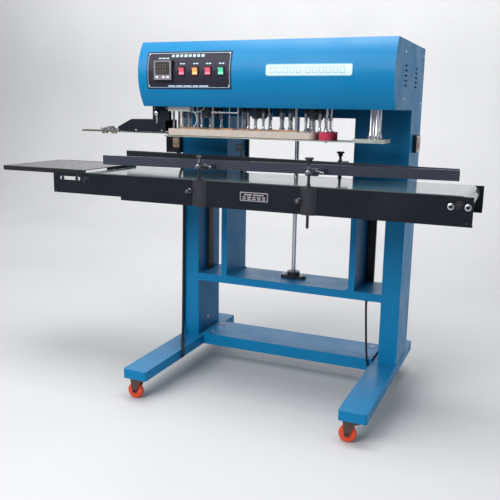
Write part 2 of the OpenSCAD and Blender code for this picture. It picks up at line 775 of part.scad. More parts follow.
// A lobed clamp knob that faces -Y
module panel_knob(place, wings) color(dark) at_machine()
  translate([place[0], -conv_front, place[1]]) rotate([90, 0, 0]) {
    cylinder(r = 3.5, h = 14);
    translate([0, 0, 12]) cylinder(r = 9, h = 9);
    for (k = [0 : wings - 1]) rotate([0, 0, k * 360 / wings + 20])
      translate([9.5, 0, 13]) cylinder(r = 4, h = 7);
  }

// A mushroom knob on top of a rail rod
module rod_knob(y) color(dark) at_machine() translate([bracket_xs[1], y, rod_top - 9.7]) {
  cylinder(r = 7, h = 10);
  translate([0, 0, 10]) cylinder(r = 14, h = 8);
}

// Nut block for the lift screw, and the arms whose shoes ride on the guide bars
module lift_brackets() color(dark) at_machine() {
  z0 = conv_z + 10;
  z1 = conv_z + 76;
  arm_x = upright_x + upright_w + 30;
  shoe_x = post_x - 40;
  difference() {
    union() {
      tube([-nut_box / 2, -conv_back, z0], [nut_box / 2, screw_y + 32, z1], 5);
      block([-nut_box / 2, screw_y - 32, z0], [nut_box / 2, screw_y + 32, z0 + nut_floor]);
    }
    translate([0, screw_y, z0 - 1]) cylinder(r = nut_r, h = nut_floor + 2);
  }
  translate([0, screw_y, 0]) difference() {
    union() {
      translate([0, 0, z0 - nut_flange_t]) cylinder(r = nut_r + 8, h = nut_flange_t);
      translate([0, 0, z0]) cylinder(r = nut_r, h = nut_h);
    }
    translate([0, 0, z0 - nut_flange_t - 1]) cylinder(r = screw_r + rod_fit, h = nut_h + nut_flange_t + 2);
  }
  both_sides() {
    tube([arm_x, -conv_back, z0], [shoe_x, screw_y + shoe_half, z1], 4);
    difference() {
      block([shoe_x, screw_y - shoe_half, z0], [post_x - 4, screw_y + shoe_half, z1]);
      block([post_x - guide_bar_t - shoe_fit, screw_y - guide_bar_half - shoe_fit, z0 - 1],
        [post_x + 1, screw_y + guide_bar_half + shoe_fit, z1 + 1]);
    }
  }
}

module conveyor_gearmotor() color("dimgray") at_machine() {
  slab([drive_x - 34, -conv_back, roller_z - 32], [drive_x + 34, -conv_back + 42, roller_z + 18], 6);
  rod_x(drive_x - 170, drive_x - 34, -conv_back + 28, roller_z - 6, 24);
}

module lift_screw() color(steel) at_machine() translate([0, screw_y, 0]) {
  translate([0, 0, shelf_top - shelf_t]) cylinder(r = screw_r, h = chassis_z + 36 - shelf_top + shelf_t);
  translate([-6, -6, shelf_top - shelf_t - 22]) cube([12, 12, 22.1]);
}

// ---------- Casters ----------

// Swivel plate, stem and fork; the wheel trails towards -X
module caster_fork(x, y) color(steel) at_machine() translate([x, y, 0]) {
  translate([0, 0, caster_h - 1]) cylinder(r = 7, h = 5);
  translate([0, 0, caster_h - 10.3]) cylinder(r = 20, h = 10);
  translate([-18, 0, caster_h - 14]) slab([-22, -17, 0], [32, 17, 4], 6);
  for (s = [-1, 1])
    translate([0, s * 15.5, 0]) rotate([90, 0, 0]) translate([0, 0, -fork_t / 2]) linear_extrude(fork_t)
      polygon([[-40, caster_h - 11], [10, caster_h - 11], [-caster_trail + 8, wheel_r - 8],
        [-caster_trail - 8, wheel_r - 8]]);
  rod_y(-caster_trail, -18, 18, wheel_r, 4);
}

module caster_wheel(x, y) color([0.9, 0.33, 0.2]) at_machine()
  translate([x - caster_trail, y, wheel_r]) rotate([90, 0, 0]) difference() {
    union() {
      translate([0, 0, -wheel_w / 2]) cylinder(r = wheel_r, h = wheel_w);
      translate([0, 0, -13]) cylinder(r = 9, h = 26);
    }
    translate([0, 0, -20]) cylinder(r = 4.05, h = 40);
  }

foot_beams();
cross_members();
outer_posts();
inner_uprights();
column_covers();
lift_guides();
head_chassis();
head_cover();
head_rear_cover();
front_plates();
panel_bezels();
head_machinery();
seal_rails();
hangers(-1);  // hangers_front
hangers(1);  // hangers_rear
seal_blocks();
infeed_guard();
sealing_bands();
cables();
cable_boxes();
frame_bolts();
conveyor_panels();
conveyor_bed();
conveyor_belt();
infeed_table();
rail_brackets();
lift_brackets();
conveyor_gearmotor();
lift_screw();
drive_roller();
tail_roller();
front_rail();
rear_rail();
panel_knob(wing_knob, 2);  // front_left_knob
panel_knob(star_knob, 5);  // front_right_knob
rod_knob(front_rod_y);  // front_rod_knob
rod_knob(rear_rod_y);  // rear_rod_knob
rocker(rocker_xs[0], "crimson");  // rocker_1
rocker(rocker_xs[1], "orange");  // rocker_2
rocker(rocker_xs[2], "crimson");  // rocker_3
rocker(rocker_xs[3], "seagreen");  // rocker_4
controller_key(0);  // set_key
controller_key(1);  // down_key
controller_key(2);  // up_key
band_wheel(band_left_x, -1);  // band_wheel_front_left
band_wheel(band_right_x, -1);  // band_wheel_front_right
band_wheel(band_left_x, 1);  // band_wheel_rear_left
band_wheel(band_right_x, 1);  // band_wheel_rear_right
press_wheel(-1);  // press_wheel_front
press_wheel(1);  // press_wheel_rear
infeed_roller(-1);  // infeed_roller_front
infeed_roller(1);  // infeed_roller_rear
caster_fork(-caster_x, caster_front_y);  // caster_fork_front_left
caster_fork(caster_x, caster_front_y);  // caster_fork_front_right
caster_fork(-caster_x, caster_rear_y);  // caster_fork_rear_left
caster_fork(caster_x, caster_rear_y);  // caster_fork_rear_right
caster_wheel(-caster_x, caster_front_y);  // caster_wheel_front_left
caster_wheel(caster_x, caster_front_y);  // caster_wheel_front_right
caster_wheel(-caster_x, caster_rear_y);  // caster_wheel_rear_left
caster_wheel(caster_x, caster_rear_y);  // caster_wheel_rear_right
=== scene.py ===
import math
import bmesh
import bpy
from mathutils import Matrix, Vector


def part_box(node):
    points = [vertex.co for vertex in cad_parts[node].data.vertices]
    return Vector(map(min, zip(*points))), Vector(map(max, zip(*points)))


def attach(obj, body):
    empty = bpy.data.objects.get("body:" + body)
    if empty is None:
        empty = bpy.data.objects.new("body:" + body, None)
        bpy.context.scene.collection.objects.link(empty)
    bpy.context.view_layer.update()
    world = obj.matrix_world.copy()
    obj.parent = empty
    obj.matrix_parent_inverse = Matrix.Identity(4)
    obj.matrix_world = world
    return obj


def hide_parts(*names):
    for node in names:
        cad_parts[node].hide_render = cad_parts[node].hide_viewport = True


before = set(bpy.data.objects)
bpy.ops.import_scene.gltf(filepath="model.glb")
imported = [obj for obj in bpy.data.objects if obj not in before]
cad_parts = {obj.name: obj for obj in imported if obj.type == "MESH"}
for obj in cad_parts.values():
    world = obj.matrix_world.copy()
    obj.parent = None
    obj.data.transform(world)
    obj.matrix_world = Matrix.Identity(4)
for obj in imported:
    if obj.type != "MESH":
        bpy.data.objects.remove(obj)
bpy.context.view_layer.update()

# Places below are in millimetres from the machine's own axes: x = 0 is the lift screw, y = 0 the
# columns' front face and z = 0 the floor. The frame says where those axes are.
MM = 0.001
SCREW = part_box("lift_screw")
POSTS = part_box("outer_posts")
AXES = Vector(((SCREW[0][0] + SCREW[1][0]) / 2, POSTS[0][1], 0.0))


def near(node):
    """A node's low and high corners in millimetres from the machine's axes."""
    low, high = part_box(node)
    return tuple((Vector(low) - AXES) / MM), tuple((Vector(high) - AXES) / MM)


# ---------- Materials ----------


class Look:
    """A node material under construction: a Principled shader and what feeds it."""

    def __init__(self, name, color, roughness, metallic=0.0, **sockets):
        self.mat = bpy.data.materials.new(name)
        self.mat.use_nodes = True
        self.tree = self.mat.node_tree
        self.shader = self.tree.nodes["Principled BSDF"]
        self.set("Base Color", (*color, 1.0))
        self.set("Roughness", roughness)
        self.set("Metallic", metallic)
        for socket, value in sockets.items():
            self.set(socket.replace("_", " "), value)
        self.color = color
        self.coords = self.tree.nodes.new("ShaderNodeTexCoord")
        self.normal = None

    def set(self, socket, value):
        self.shader.inputs[socket].default_value = value

    def link(self, a, b):
        self.tree.links.new(a, b)

    def noise(self, scale, detail=3.0, stretch=(1, 1, 1), roughness=0.5):
        """Noise in object space; stretch below 1 draws it out along that axis."""
        mapping = self.tree.nodes.new("ShaderNodeMapping")
        mapping.inputs["Scale"].default_value = stretch
        self.link(self.coords.outputs["Object"], mapping.inputs["Vector"])
        node = self.tree.nodes.new("ShaderNodeTexNoise")
        node.inputs["Scale"].default_value = scale
        node.inputs["Detail"].default_value = detail
        node.inputs["Roughness"].default_value = roughness
        self.link(mapping.outputs["Vector"], node.inputs["Vector"])
        return node.outputs["Fac"]

    def spread(self, source, low, high, to_low, to_high):
        """source from low..high mapped to to_low..to_high, held at both ends."""
        node = self.tree.nodes.new("ShaderNodeMapRange")
        for key, value in (("From Min", low), ("From Max", high), ("To Min", to_low), ("To Max", to_high)):
            node.inputs[key].default_value = value
        self.link(source, node.inputs["Value"])
        return node.outputs["Result"]

    def tint(self, source, other, low=0.35, high=0.7):
        """Mixes the base colour towards other where source is high."""
        mix = self.tree.nodes.new("ShaderNodeMix")
        mix.data_type = "RGBA"
        self.link(self.spread(source, low, high, 0.0, 1.0), mix.inputs["Factor"])
        old = self.shader.inputs["Base Color"].links
        if old:
            self.link(old[0].from_socket, mix.inputs["A"])
        else:
            mix.inputs["A"].default_value = (*self.color, 1.0)
        mix.inputs["B"].default_value = (*other, 1.0)
        self.link(mix.outputs["Result"], self.shader.inputs["Base Color"])
        return self

    def rough(self, source, low, high):
        """Roughness varies between low and high with source."""
        self.link(self.spread(source, 0.3, 0.7, low, high), self.shader.inputs["Roughness"])
        return self

    def bump(self, source, strength, depth):
        """Adds a bump of depth metres."""
        node = self.tree.nodes.new("ShaderNodeBump")
        node.inputs["Strength"].default_value = strength
        node.inputs["Distance"].default_value = depth
        self.link(source, node.inputs["Height"])
        if self.normal:
            self.link(self.normal, node.inputs["Normal"])
        self.normal = node.outputs["Normal"]
        self.link(self.normal, self.shader.inputs["Normal"])
        return self

    def edges(self, color, radius=0.0012, amount=0.5):
        """Worn, paler paint where the surface turns sharply."""
        bevel = self.tree.nodes.new("ShaderNodeBevel")
        bevel.samples = 4
        bevel.inputs["Radius"].default_value = radius
        geometry = self.tree.nodes.new("ShaderNodeNewGeometry")
        dot = self.tree.nodes.new("ShaderNodeVectorMath")
        dot.operation = "DOT_PRODUCT"
        self.link(bevel.outputs["Normal"], dot.inputs[0])
        self.link(geometry.outputs["Normal"], dot.inputs[1])
        turned = self.spread(dot.outputs["Value"], 1.0, 0.75, 0.0, 1.0)
        patchy = self.spread(self.noise(90, 4), 0.42, 0.62, 0.0, amount)
        both = self.tree.nodes.new("ShaderNodeMath")
        both.operation = "MULTIPLY"
        self.link(turned, both.inputs[0])
        self.link(patchy, both.inputs[1])
        return self.tint(both.outputs["Value"], color, 0.0, 1.0)


def painted_top_sheen(look, side_gloss, top_gloss):
    """Painted sheen: faces that look up get a stronger specular shine by which way they point; upright faces stay
    duller.
    """
    geometry = look.tree.nodes.new("ShaderNodeNewGeometry")
    parts = look.tree.nodes.new("ShaderNodeSeparateXYZ")
    look.link(geometry.outputs["Normal"], parts.inputs["Vector"])
    gloss = look.spread(parts.outputs["Z"], 0.3, 0.9, side_gloss, top_gloss)
    look.link(gloss, look.shader.inputs["Specular IOR Level"])


def paint(name, color, roughness, coat, dust, peel=0.35):
    """Powder coat: orange peel, patchy gloss, a little dust and rubbed edges."""
    look = Look(name, color, roughness, Coat_Weight=coat, Coat_Roughness=0.12)
    # Painted sheen: up-facing faces reflect more than upright ones.
    painted_top_sheen(look, 0.15, 0.7)
    look.tint(look.noise(5, 4), dust, 0.45, 1.0)
    look.rough(look.noise(9, 5), roughness - 0.06, roughness + 0.1)
    look.bump(look.noise(420, 2), peel, 0.0004)
    look.bump(look.noise(7, 2), 0.12, 0.002)
    return look.edges(tuple(min(1.0, c * 1.6 + 0.12) for c in color)).mat


def metal(name, color, roughness, stretch, depth=0.0002, metallic=1.0):
    """Bare metal with fine lines drawn out along one axis."""
    look = Look(name, color, roughness, metallic)
    lines = look.noise(600, 3, stretch)
    look.rough(lines, roughness - 0.07, roughness + 0.1)
    look.tint(look.noise(25, 5), tuple(c * 0.75 for c in color), 0.4, 0.75)
    look.bump(lines, 0.12, depth)
    return look.mat


def moulded(name, color, roughness, grain=700, **sockets):
    """Moulded plastic or rubber with a fine grain and mottled gloss."""
    look = Look(name, color, roughness, Specular_IOR_Level=0.3, **sockets)
    look.rough(look.noise(40, 4), roughness - 0.07, roughness + 0.1)
    look.tint(look.noise(60, 3), tuple(c * 1.25 + 0.004 for c in color), 0.45, 0.8)
    look.bump(look.noise(grain, 2), 0.3, 0.0002)
    return look.mat


BLUE = paint("blue_powder_coat", (0.001, 0.165, 0.365), 0.38, 0.04, (0.004, 0.185, 0.39))
BLACK = paint("black_powder_coat", (0.006, 0.008, 0.013), 0.42, 0.05, (0.012, 0.014, 0.020))
GREY = paint("sleeve_grey", (0.026, 0.027, 0.033), 0.45, 0.1, (0.038, 0.039, 0.045))
GUIDE = paint("guide_enamel", (0.030, 0.031, 0.034), 0.45, 0.1, (0.045, 0.043, 0.042), 0.5)
RAIL = paint("rail_black", (0.036, 0.041, 0.058), 0.34, 0.15, (0.046, 0.052, 0.070), 0.2)
ENAMEL = paint("machine_enamel", (0.16, 0.17, 0.18), 0.4, 0.3, (0.2, 0.2, 0.2), 0.5)
PANEL = paint("panel_print", (0.016, 0.014, 0.026), 0.5, 0.08, (0.024, 0.022, 0.034), 0.1)
INK = moulded("panel_ink", (0.42, 0.55, 0.66), 0.5)
BADGE = paint("badge_white", (0.56, 0.66, 0.67), 0.45, 0.05, (0.52, 0.62, 0.63), 0.1)
BADGE_EDGE = paint("badge_edge", (0.10, 0.38, 0.50), 0.4, 0.1, (0.15, 0.42, 0.52), 0.1)
CHROME = metal("chrome_plate", (0.62, 0.62, 0.65), 0.2, (1, 1, 0.02), 0.0001)
END_CHROME = metal("brushed_chrome", (0.66, 0.65, 0.70), 0.36, (1, 1, 0.02), 0.00005)
STEEL = metal("ground_steel", (0.55, 0.56, 0.58), 0.30, (0.04, 1, 1))
ZINC = metal("zinc_fasteners", (0.55, 0.56, 0.58), 0.3, (1, 1, 1))
FORK = metal("caster_fork", (0.13, 0.085, 0.075), 0.34, (1, 1, 1))
TABLE = metal("table_sheet", (0.26, 0.26, 0.28), 0.24, (0.04, 1, 1), 0.0001)
PLATE = metal("seal_plate", (0.40, 0.44, 0.40), 0.38, (0.04, 1, 1))
PALE_PLATE = metal("hanger_plate", (0.66, 0.63, 0.60), 0.4, (0.04, 1, 1), 0.0001, 0.6)
COPPER = metal("heating_block", (0.62, 0.36, 0.22), 0.35, (0.04, 1, 1))
TAG = metal("data_tag", (0.62, 0.58, 0.60), 0.35, (0.04, 1, 1))
PLASTIC = moulded("black_moulding", (0.016, 0.016, 0.018), 0.38)
SHEATH = moulded("cable_sheath", (0.012, 0.012, 0.013), 0.5, 300)
WIRE = moulded("silicone_wire", (0.75, 0.74, 0.70), 0.5, 300)
KEYS = moulded("key_rubber", (0.62, 0.56, 0.60), 0.55)
WINDOW = Look("display_window", (0.03, 0.028, 0.024), 0.12, Coat_Weight=0.6, Coat_Roughness=0.05)
WINDOW = WINDOW.rough(WINDOW.noise(30, 3), 0.08, 0.18).mat
BEIGE = moulded("socket_insert", (0.50, 0.33, 0.24), 0.5, 400)
TYRE = moulded("orange_tyre", (0.66, 0.065, 0.018), 0.35, 350)
HUB = moulded("wheel_hub", (0.36, 0.035, 0.015), 0.3, 500)
BEZEL = moulded("controller_grey", (0.15, 0.14, 0.165), 0.42)
SEGMENT = moulded("unlit_segments", (0.16, 0.13, 0.10), 0.3)
SHADOW = moulded("seam_shadow", (0.006, 0.03, 0.07), 0.6)
GREASED = moulded("greased_black_steel", (0.020, 0.020, 0.026), 0.32, 500)
BRONZE = metal("browned_bar", (0.26, 0.21, 0.17), 0.34, (0.04, 1, 1))
# Near-black liner; its darkness also stands in for painted shade on the rear rail's inner face.
SHADED_RAIL_LINER = moulded("dark_liner_painted_shade", (0.010, 0.011, 0.016), 0.5, 900)
RIM = moulded("table_rim", (0.008, 0.008, 0.010), 0.75)
DARK_CHROME = metal("clamp_chrome", (0.22, 0.22, 0.24), 0.26, (1, 1, 1))
SILICONE = moulded("red_silicone", (0.50, 0.035, 0.085), 0.55, 350)
LED = Look("led_green", (0.05, 0.5, 0.15), 0.3, Emission_Color=(0.05, 0.9, 0.2, 1), Emission_Strength=0.6).mat


def lens(name, color, glow):
    """Illuminated switch cap."""
    look = Look(name, color, 0.22, Coat_Weight=0.5, Emission_Color=(*color, 1), Emission_Strength=glow)
    look.tint(look.noise(200, 3), tuple(min(1.0, c * 1.5 + 0.1) for c in color), 0.5, 0.9)
    return look.bump(look.noise(500, 2), 0.2, 0.0002).mat


RED_LENS = lens("red_lens", (0.80, 0.07, 0.14), 0.3)
AMBER_LENS = lens("amber_lens", (0.85, 0.32, 0.10), 0.3)
GREEN_LENS = lens("green_lens", (0.05, 0.50, 0.28), 0.3)


def belt_look():
    """Glossy PVC belt: fine weave under the gloss, long faint rub lines."""
    look = Look("pvc_belt", (0.10, 0.135, 0.13), 0.13, Coat_Weight=0.6, Coat_Roughness=0.06)
    look.rough(look.noise(14, 5, (0.15, 1, 1)), 0.09, 0.2)
    look.tint(look.noise(30, 5, (0.05, 1, 1)), (0.14, 0.17, 0.165), 0.5, 0.85)
    look.bump(look.noise(900, 1), 0.12, 0.0002)
    return look.bump(look.noise(5, 1, (0.4, 1, 1)), 0.05, 0.002).mat


def band_look():
    """PTFE-coated glass cloth: woven threads, heat tints along its length."""
    look = Look("ptfe_cloth", (0.52, 0.45, 0.39), 0.5)
    look.tint(look.noise(18, 4, (1, 1, 0.2)), (0.54, 0.38, 0.32), 0.48, 0.85)
    look.tint(look.noise(45, 4), (0.60, 0.55, 0.48), 0.5, 0.8)
    for axis in ("X", "Z"):
        wave = look.tree.nodes.new("ShaderNodeTexWave")
        wave.bands_direction = axis
        wave.inputs["Scale"].default_value = 260
        look.link(look.coords.outputs["Object"], wave.inputs["Vector"])
        look.bump(wave.outputs["Fac"], 0.2, 0.0002)
    return look.mat


def screw_look():
    """Bright shaft with the fine turns of its thread."""
    look = Look("lift_thread", (0.62, 0.63, 0.66), 0.2, 1.0)
    turns = look.tree.nodes.new("ShaderNodeTexWave")
    turns.bands_direction = "Z"
    turns.inputs["Scale"].default_value = 62
    look.link(look.coords.outputs["Object"], turns.inputs["Vector"])
    look.bump(turns.outputs["Fac"], 0.35, 0.0008)
    return look.rough(look.noise(30, 4), 0.14, 0.26).mat


BELT = belt_look()
BAND = band_look()
THREAD = screw_look()


# ---------- Shapes ----------


class Shape:
    """Collects solids, in millimetres from the machine's axes, into one mesh."""

    def __init__(self):
        self.bm = bmesh.new()
        self.slot = 0

    def face(self, verts):
        made = self.bm.faces.new(verts)
        made.material_index = self.slot
        return made

    def grid(self, rows, closed_rows=False, closed_cols=True):
        """Skins rows of points; each row may close on itself, and the rows may close too."""
        verts = [[self.bm.verts.new(p) for p in row] for row in rows]
        last_row = len(rows) if closed_rows else len(rows) - 1
        count = len(rows[0])
        for i in range(last_row):
            for j in range(count if closed_cols else count - 1):
                a, b = verts[i], verts[(i + 1) % len(rows)]
                k = (j + 1) % count
                self.face((a[j], a[k], b[k], b[j]))
        return verts

    def prism(self, outline, place, low, high):
        """An outline of 2D points between two depths; place turns (u, v, depth) into a point."""
        rows = [[place(u, v, depth) for u, v in outline] for depth in (low, high)]
        verts = self.grid(rows)
        self.face(list(reversed(verts[0])))
        self.face(verts[1])
        return self

    def box(self, low, high, corner=0.0, along="z"):
        """A box, with its edges along one axis rounded."""
        order = {"x": (1, 2, 0), "y": (0, 2, 1), "z": (0, 1, 2)}[along]
        a, b, c = order
        outline = rounded((low[a], low[b]), (high[a], high[b]), corner)

        def place(u, v, w):
            point = [0, 0, 0]
            point[a], point[b], point[c] = u, v, w
            return point

        return self.prism(outline, place, low[c], high[c])

    def turned(self, base, axis, profile, steps=32):
        """A turned part: profile is (distance along the axis, radius) from one end to the other."""
        axis = Vector(axis).normalized()
        side = axis.orthogonal().normalized()
        other = axis.cross(side)
        base = Vector(base)
        rows = []
        for distance, radius in profile:
            ring = []
            for k in range(steps):
                angle = 2 * math.pi * k / steps
                spoke = side * math.cos(angle) + other * math.sin(angle)
                ring.append(base + axis * distance + spoke * max(radius, 0.01))
            rows.append(ring)
        verts = self.grid(rows)
        self.face(list(reversed(verts[0])))
        self.face(verts[-1])
        return self

    def tube(self, points, radius, steps=12):
        """A round tube along points."""
        points = [Vector(p) for p in points]
        side = (points[1] - points[0]).orthogonal().normalized()
        rows = []
        for i, point in enumerate(points):
            ahead = points[min(i + 1, len(points) - 1)]
            behind = points[max(i - 1, 0)]
            run = (ahead - behind).normalized()
            side = (side - run * side.dot(run)).normalized()
            other = run.cross(side)
            ring = []
            for k in range(steps):
                angle = 2 * math.pi * k / steps
                ring.append(point + (side * math.cos(angle) + other * math.sin(angle)) * radius)
            rows.append(ring)
        verts = self.grid(rows)
        self.face(list(reversed(verts[0])))
        self.face(verts[-1])
        return self

    def hex_bolt(self, base, axis, size, washer=True):
        """A hexagon head on a washer; size is across the flats."""
        base, axis = Vector(base), Vector(axis).normalized()
        lift = 0.0
        if washer:
            self.turned(base, axis, [(0, size * 0.95), (size * 0.12, size * 0.95), (size * 0.16, size * 0.9)], 28)
            lift = size * 0.16
        self.turned(base + axis * lift, axis, [(0, size * 0.57), (size * 0.5, size * 0.57), (size * 0.6, size * 0.47)], 6)
        return self

    def cap_screw(self, base, axis, radius):
        """A pan-head screw with a cross cut in its dome."""
        base, axis = Vector(base), Vector(axis).normalized()
        dome = [(0, radius), (radius * 0.35, radius * 0.95), (radius * 0.6, radius * 0.7), (radius * 0.68, radius * 0.34)]
        dome += [(radius * 0.38, radius * 0.26), (radius * 0.36, 0.0)]
        return self.turned(base, axis, dome, 20)

    def done(self, name, body, materials, bevel=0.6, slot=None, replaces=(), sharp=35):
        """Turns the collected solids into a piece that rides on a body."""
        bmesh.ops.remove_doubles(self.bm, verts=self.bm.verts, dist=0.0005)
        bmesh.ops.recalc_face_normals(self.bm, faces=self.bm.faces)
        for made in self.bm.faces:
            made.smooth = True
        self.bm.transform(Matrix.Translation(AXES) @ Matrix.Scale(MM, 4))
        mesh = bpy.data.meshes.new(name)
        self.bm.to_mesh(mesh)
        self.bm.free()
        mesh.set_sharp_from_angle(angle=math.radians(sharp))
        piece = bpy.data.objects.new(name, mesh)
        bpy.context.scene.collection.objects.link(piece)
        for material in materials:
            mesh.materials.append(material)
        if bevel:
            soften(piece, bevel)
        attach(piece, body)
        if replaces:
            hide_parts(*replaces)
        return piece


def soften(piece, width, segments=2):
    """Rounds a piece's hard edges; width is in millimetres."""
    bevel = piece.modifiers.new("rounded_edges", "BEVEL")
    bevel.width = width * MM
    bevel.segments = segments
    bevel.limit_method = "ANGLE"
    bevel.angle_limit = math.radians(40)
    bevel.harden_normals = False


def rounded(low, high, corner, steps=5):
    """Points of a rectangle with round corners, anticlockwise."""
    if corner <= 0:
        return [(low[0], low[1]), (high[0], low[1]), (high[0], high[1]), (low[0], high[1])]
    points = []
    centres = [(high[0] - corner, high[1] - corner), (low[0] + corner, high[1] - corner),
               (low[0] + corner, low[1] + corner), (high[0] - corner, low[1] + corner)]
    for quarter, (cx, cy) in enumerate(centres):
        for k in range(steps + 1):
            angle = math.radians(90 * (quarter + k / steps))
            points.append((cx + corner * math.cos(angle), cy + corner * math.sin(angle)))
    return points


def smooth_route(points, count=8):
    """Catmull-Rom points through a route."""
    points = [Vector(p) for p in points]
    padded = [points[0] * 2 - points[1], *points, points[-1] * 2 - points[-2]]
    out = []
    for i in range(1, len(padded) - 2):
        p0, p1, p2, p3 = padded[i - 1:i + 3]
        for k in range(count):
            t = k / count
            out.append(0.5 * ((2 * p1) + (p2 - p0) * t + (2 * p0 - 5 * p1 + 4 * p2 - p3) * t * t
                              + (3 * p1 - p0 - 3 * p2 + p3) * t ** 3))
    out.append(points[-1])
    return out


# ---------- CAD nodes that keep their shape ----------


def dress(node, material, bevel=0.0, segments=2):
    """Gives a CAD node its material and, where asked, softened edges."""
    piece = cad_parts[node]
    piece.data.materials.clear()
    piece.data.materials.append(material)
    if bevel:
        soften(piece, bevel, segments)


def dress_cad():
    for node in ("foot_beams", "cross_members", "outer_posts", "inner_uprights"):
        dress(node, BLUE, 1.6)
    for node in ("column_covers", "head_chassis", "head_cover", "head_rear_cover"):
        dress(node, BLUE, 0.6)
    dress("lift_guides", GUIDE, 0.8)
    dress("frame_bolts", ZINC, 0.4)
    dress("head_machinery", ENAMEL, 1.0)
    dress("panel_bezels", PLASTIC, 0.5)
    dress("seal_rails", PLATE, 0.5)
    dress("hangers_front", CHROME, 0.4)
    dress("hangers_rear", CHROME, 0.4)
    dress("seal_blocks", COPPER, 0.6)
    dress("infeed_guard", BLACK, 0.8)
    dress("sealing_bands", BAND)
    dress("cable_boxes", PLASTIC, 1.0)
    dress("conveyor_panels", BLACK, 0.8)
    dress("conveyor_bed", STEEL, 0.5)
    dress("conveyor_belt", BELT, 0.5)
    dress("rail_brackets", GREY, 0.8)
    dress("lift_brackets", BLACK, 1.0)
    dress("conveyor_gearmotor", ENAMEL, 1.5)
    dress("lift_screw", THREAD, 0.4)
    dress("drive_roller", STEEL, 0.5)
    dress("tail_roller", STEEL, 0.5)
    dress("front_rail", RAIL, 0.8)
    dress("rear_rail", RAIL, 0.8)
    for corner in CORNERS:
        dress("band_wheel_" + corner, CHROME, 0.5)
        dress("caster_fork_" + corner, FORK, 0.6)
    for side in ("front", "rear"):
        dress("infeed_roller_" + side, CHROME, 0.8)
    for key in ("set_key", "down_key", "up_key"):
        dress(key, KEYS, 0.8)
    for number, material in ((1, RED_LENS), (2, AMBER_LENS), (3, RED_LENS), (4, GREEN_LENS)):
        dress("rocker_%d" % number, material, 0.8)


# ---------- Head: control panel, nameplate and controller ----------

CORNERS = ("front_left", "front_right", "rear_left", "rear_right")
ARC_R = 194.05
ARC_Y = -153.95
ARC_Z = 1262
PANEL_X = (-446, -98)
PANEL_Z = (1208, 1342)
BADGE_X = (34, 346)
BADGE_Z = (1252, 1294)
PANEL_FACE_Y = ARC_Y - ARC_R - 1.5
ROCKER_XS = (-295, -240, -188, -136)
CONTROLLER_X = (-409, -333)
CONTROLLER_Z = (1239, 1311)
CONTROLLER_Y = PANEL_FACE_Y - 11
KEY_XS = (-394, -366, -348)


def skin(x, z, out):
    """A point in front of the head's curved skin, out from it."""
    radius = ARC_R + out
    return x, ARC_Y - math.sqrt(radius * radius - (z - ARC_Z) ** 2), z


def curved_plate(shape, xs, zs, corner, low, high, steps=18):
    """A plate that follows the curved front, with round corners."""
    rows = []
    levels = [zs[0] + (zs[1] - zs[0]) * k / steps for k in range(steps + 1)]
    if corner:
        ends = [corner * (1 - math.cos(math.radians(15 * k))) for k in range(7)]
        levels = sorted({*levels, *(zs[0] + e for e in ends), *(zs[1] - e for e in ends)})
    for z in levels:
        into = max(0.0, corner - (z - zs[0]), corner - (zs[1] - z))
        inset = corner - math.sqrt(max(0.0, corner * corner - into * into))
        a, b = xs[0] + inset, xs[1] - inset
        rows.append([skin(a, z, low), skin(a, z, high), skin(b, z, high), skin(b, z, low)])
    verts = shape.grid(rows)
    shape.face(list(reversed(verts[0])))
    shape.face(verts[-1])


def curved_frame(shape, xs, zs, width, low, high):
    """A thin line around a rectangle on the curved front."""
    curved_plate(shape, xs, (zs[0], zs[0] + width), 0, low, high, 1)
    curved_plate(shape, xs, (zs[1] - width, zs[1]), 0, low, high, 1)
    for x in (xs[0], xs[1] - width):
        curved_plate(shape, (x, x + width), zs, 0, low, high)


def bar_row(shape, x, z, height, widths, gap, low, high):
    """A row of plain bars, where a line of print would be."""
    for width in widths:
        curved_plate(shape, (x, x + width), (z, z + height), 0, low, high, 2)
        x += width + gap


def make_panel():
    plate = Shape()
    curved_plate(plate, PANEL_X, PANEL_Z, 2, 0.0, 1.5, 24)
    plate.done("panel_plate", "frame", [PANEL], 0.3, "panel_face", ["front_plates"])
    print_ = Shape()
    curved_frame(print_, (PANEL_X[0] + 5, PANEL_X[1] - 5), (PANEL_Z[0] + 5, PANEL_Z[1] - 5), 1.4, 1.4, 1.62)
    bar_row(print_, -342, 1322, 9, [11, 12, 11, 12, 11, 12, 11, 12], 6, 1.4, 1.62)
    bar_row(print_, -356, 1216, 5, [30, 26, 34, 22, 38], 4, 1.4, 1.62)
    for x in ROCKER_XS:
        bar_row(print_, x - 10, 1296, 4, [9, 9], 2.5, 1.4, 1.62)
    bar_row(print_, CONTROLLER_X[0] + 12, 1316, 4, [12, 16, 10], 3, 1.4, 1.62)
    print_.done("panel_print_lines", "frame", [INK], 0, "panel_face")
    screws = Shape()
    for x in (PANEL_X[0] + 9, PANEL_X[1] - 9):
        for z in (PANEL_Z[0] + 9, PANEL_Z[1] - 9):
            out = Vector((0, skin(x, z, 1.5)[1] - ARC_Y, z - ARC_Z)).normalized()
            screws.cap_screw(skin(x, z, 1.4), out, 4.2)
    screws.done("panel_screws", "frame", [ZINC], 0, "steel")


def make_badge():
    plate = Shape()
    curved_plate(plate, BADGE_X, BADGE_Z, 9, 0.0, 1.5, 12)
    plate.done("badge_plate", "frame", [BADGE_EDGE], 0.3, "panel_face")
    face = Shape()
    curved_plate(face, (BADGE_X[0] + 3, BADGE_X[1] - 3), (BADGE_Z[0] + 3, BADGE_Z[1] - 3), 7, 1.4, 1.7, 12)
    face.done("badge_face", "frame", [BADGE], 0, "panel_face")
    marks = Shape()
    for x in (52, 76, 100, 124, 148, 182, 206, 230, 254, 278, 302):
        curved_frame(marks, (x, x + 17), (1263, 1283), 1.6, 1.65, 1.85)
    marks.done("badge_marks", "frame", [BADGE_EDGE], 0, "panel_face")


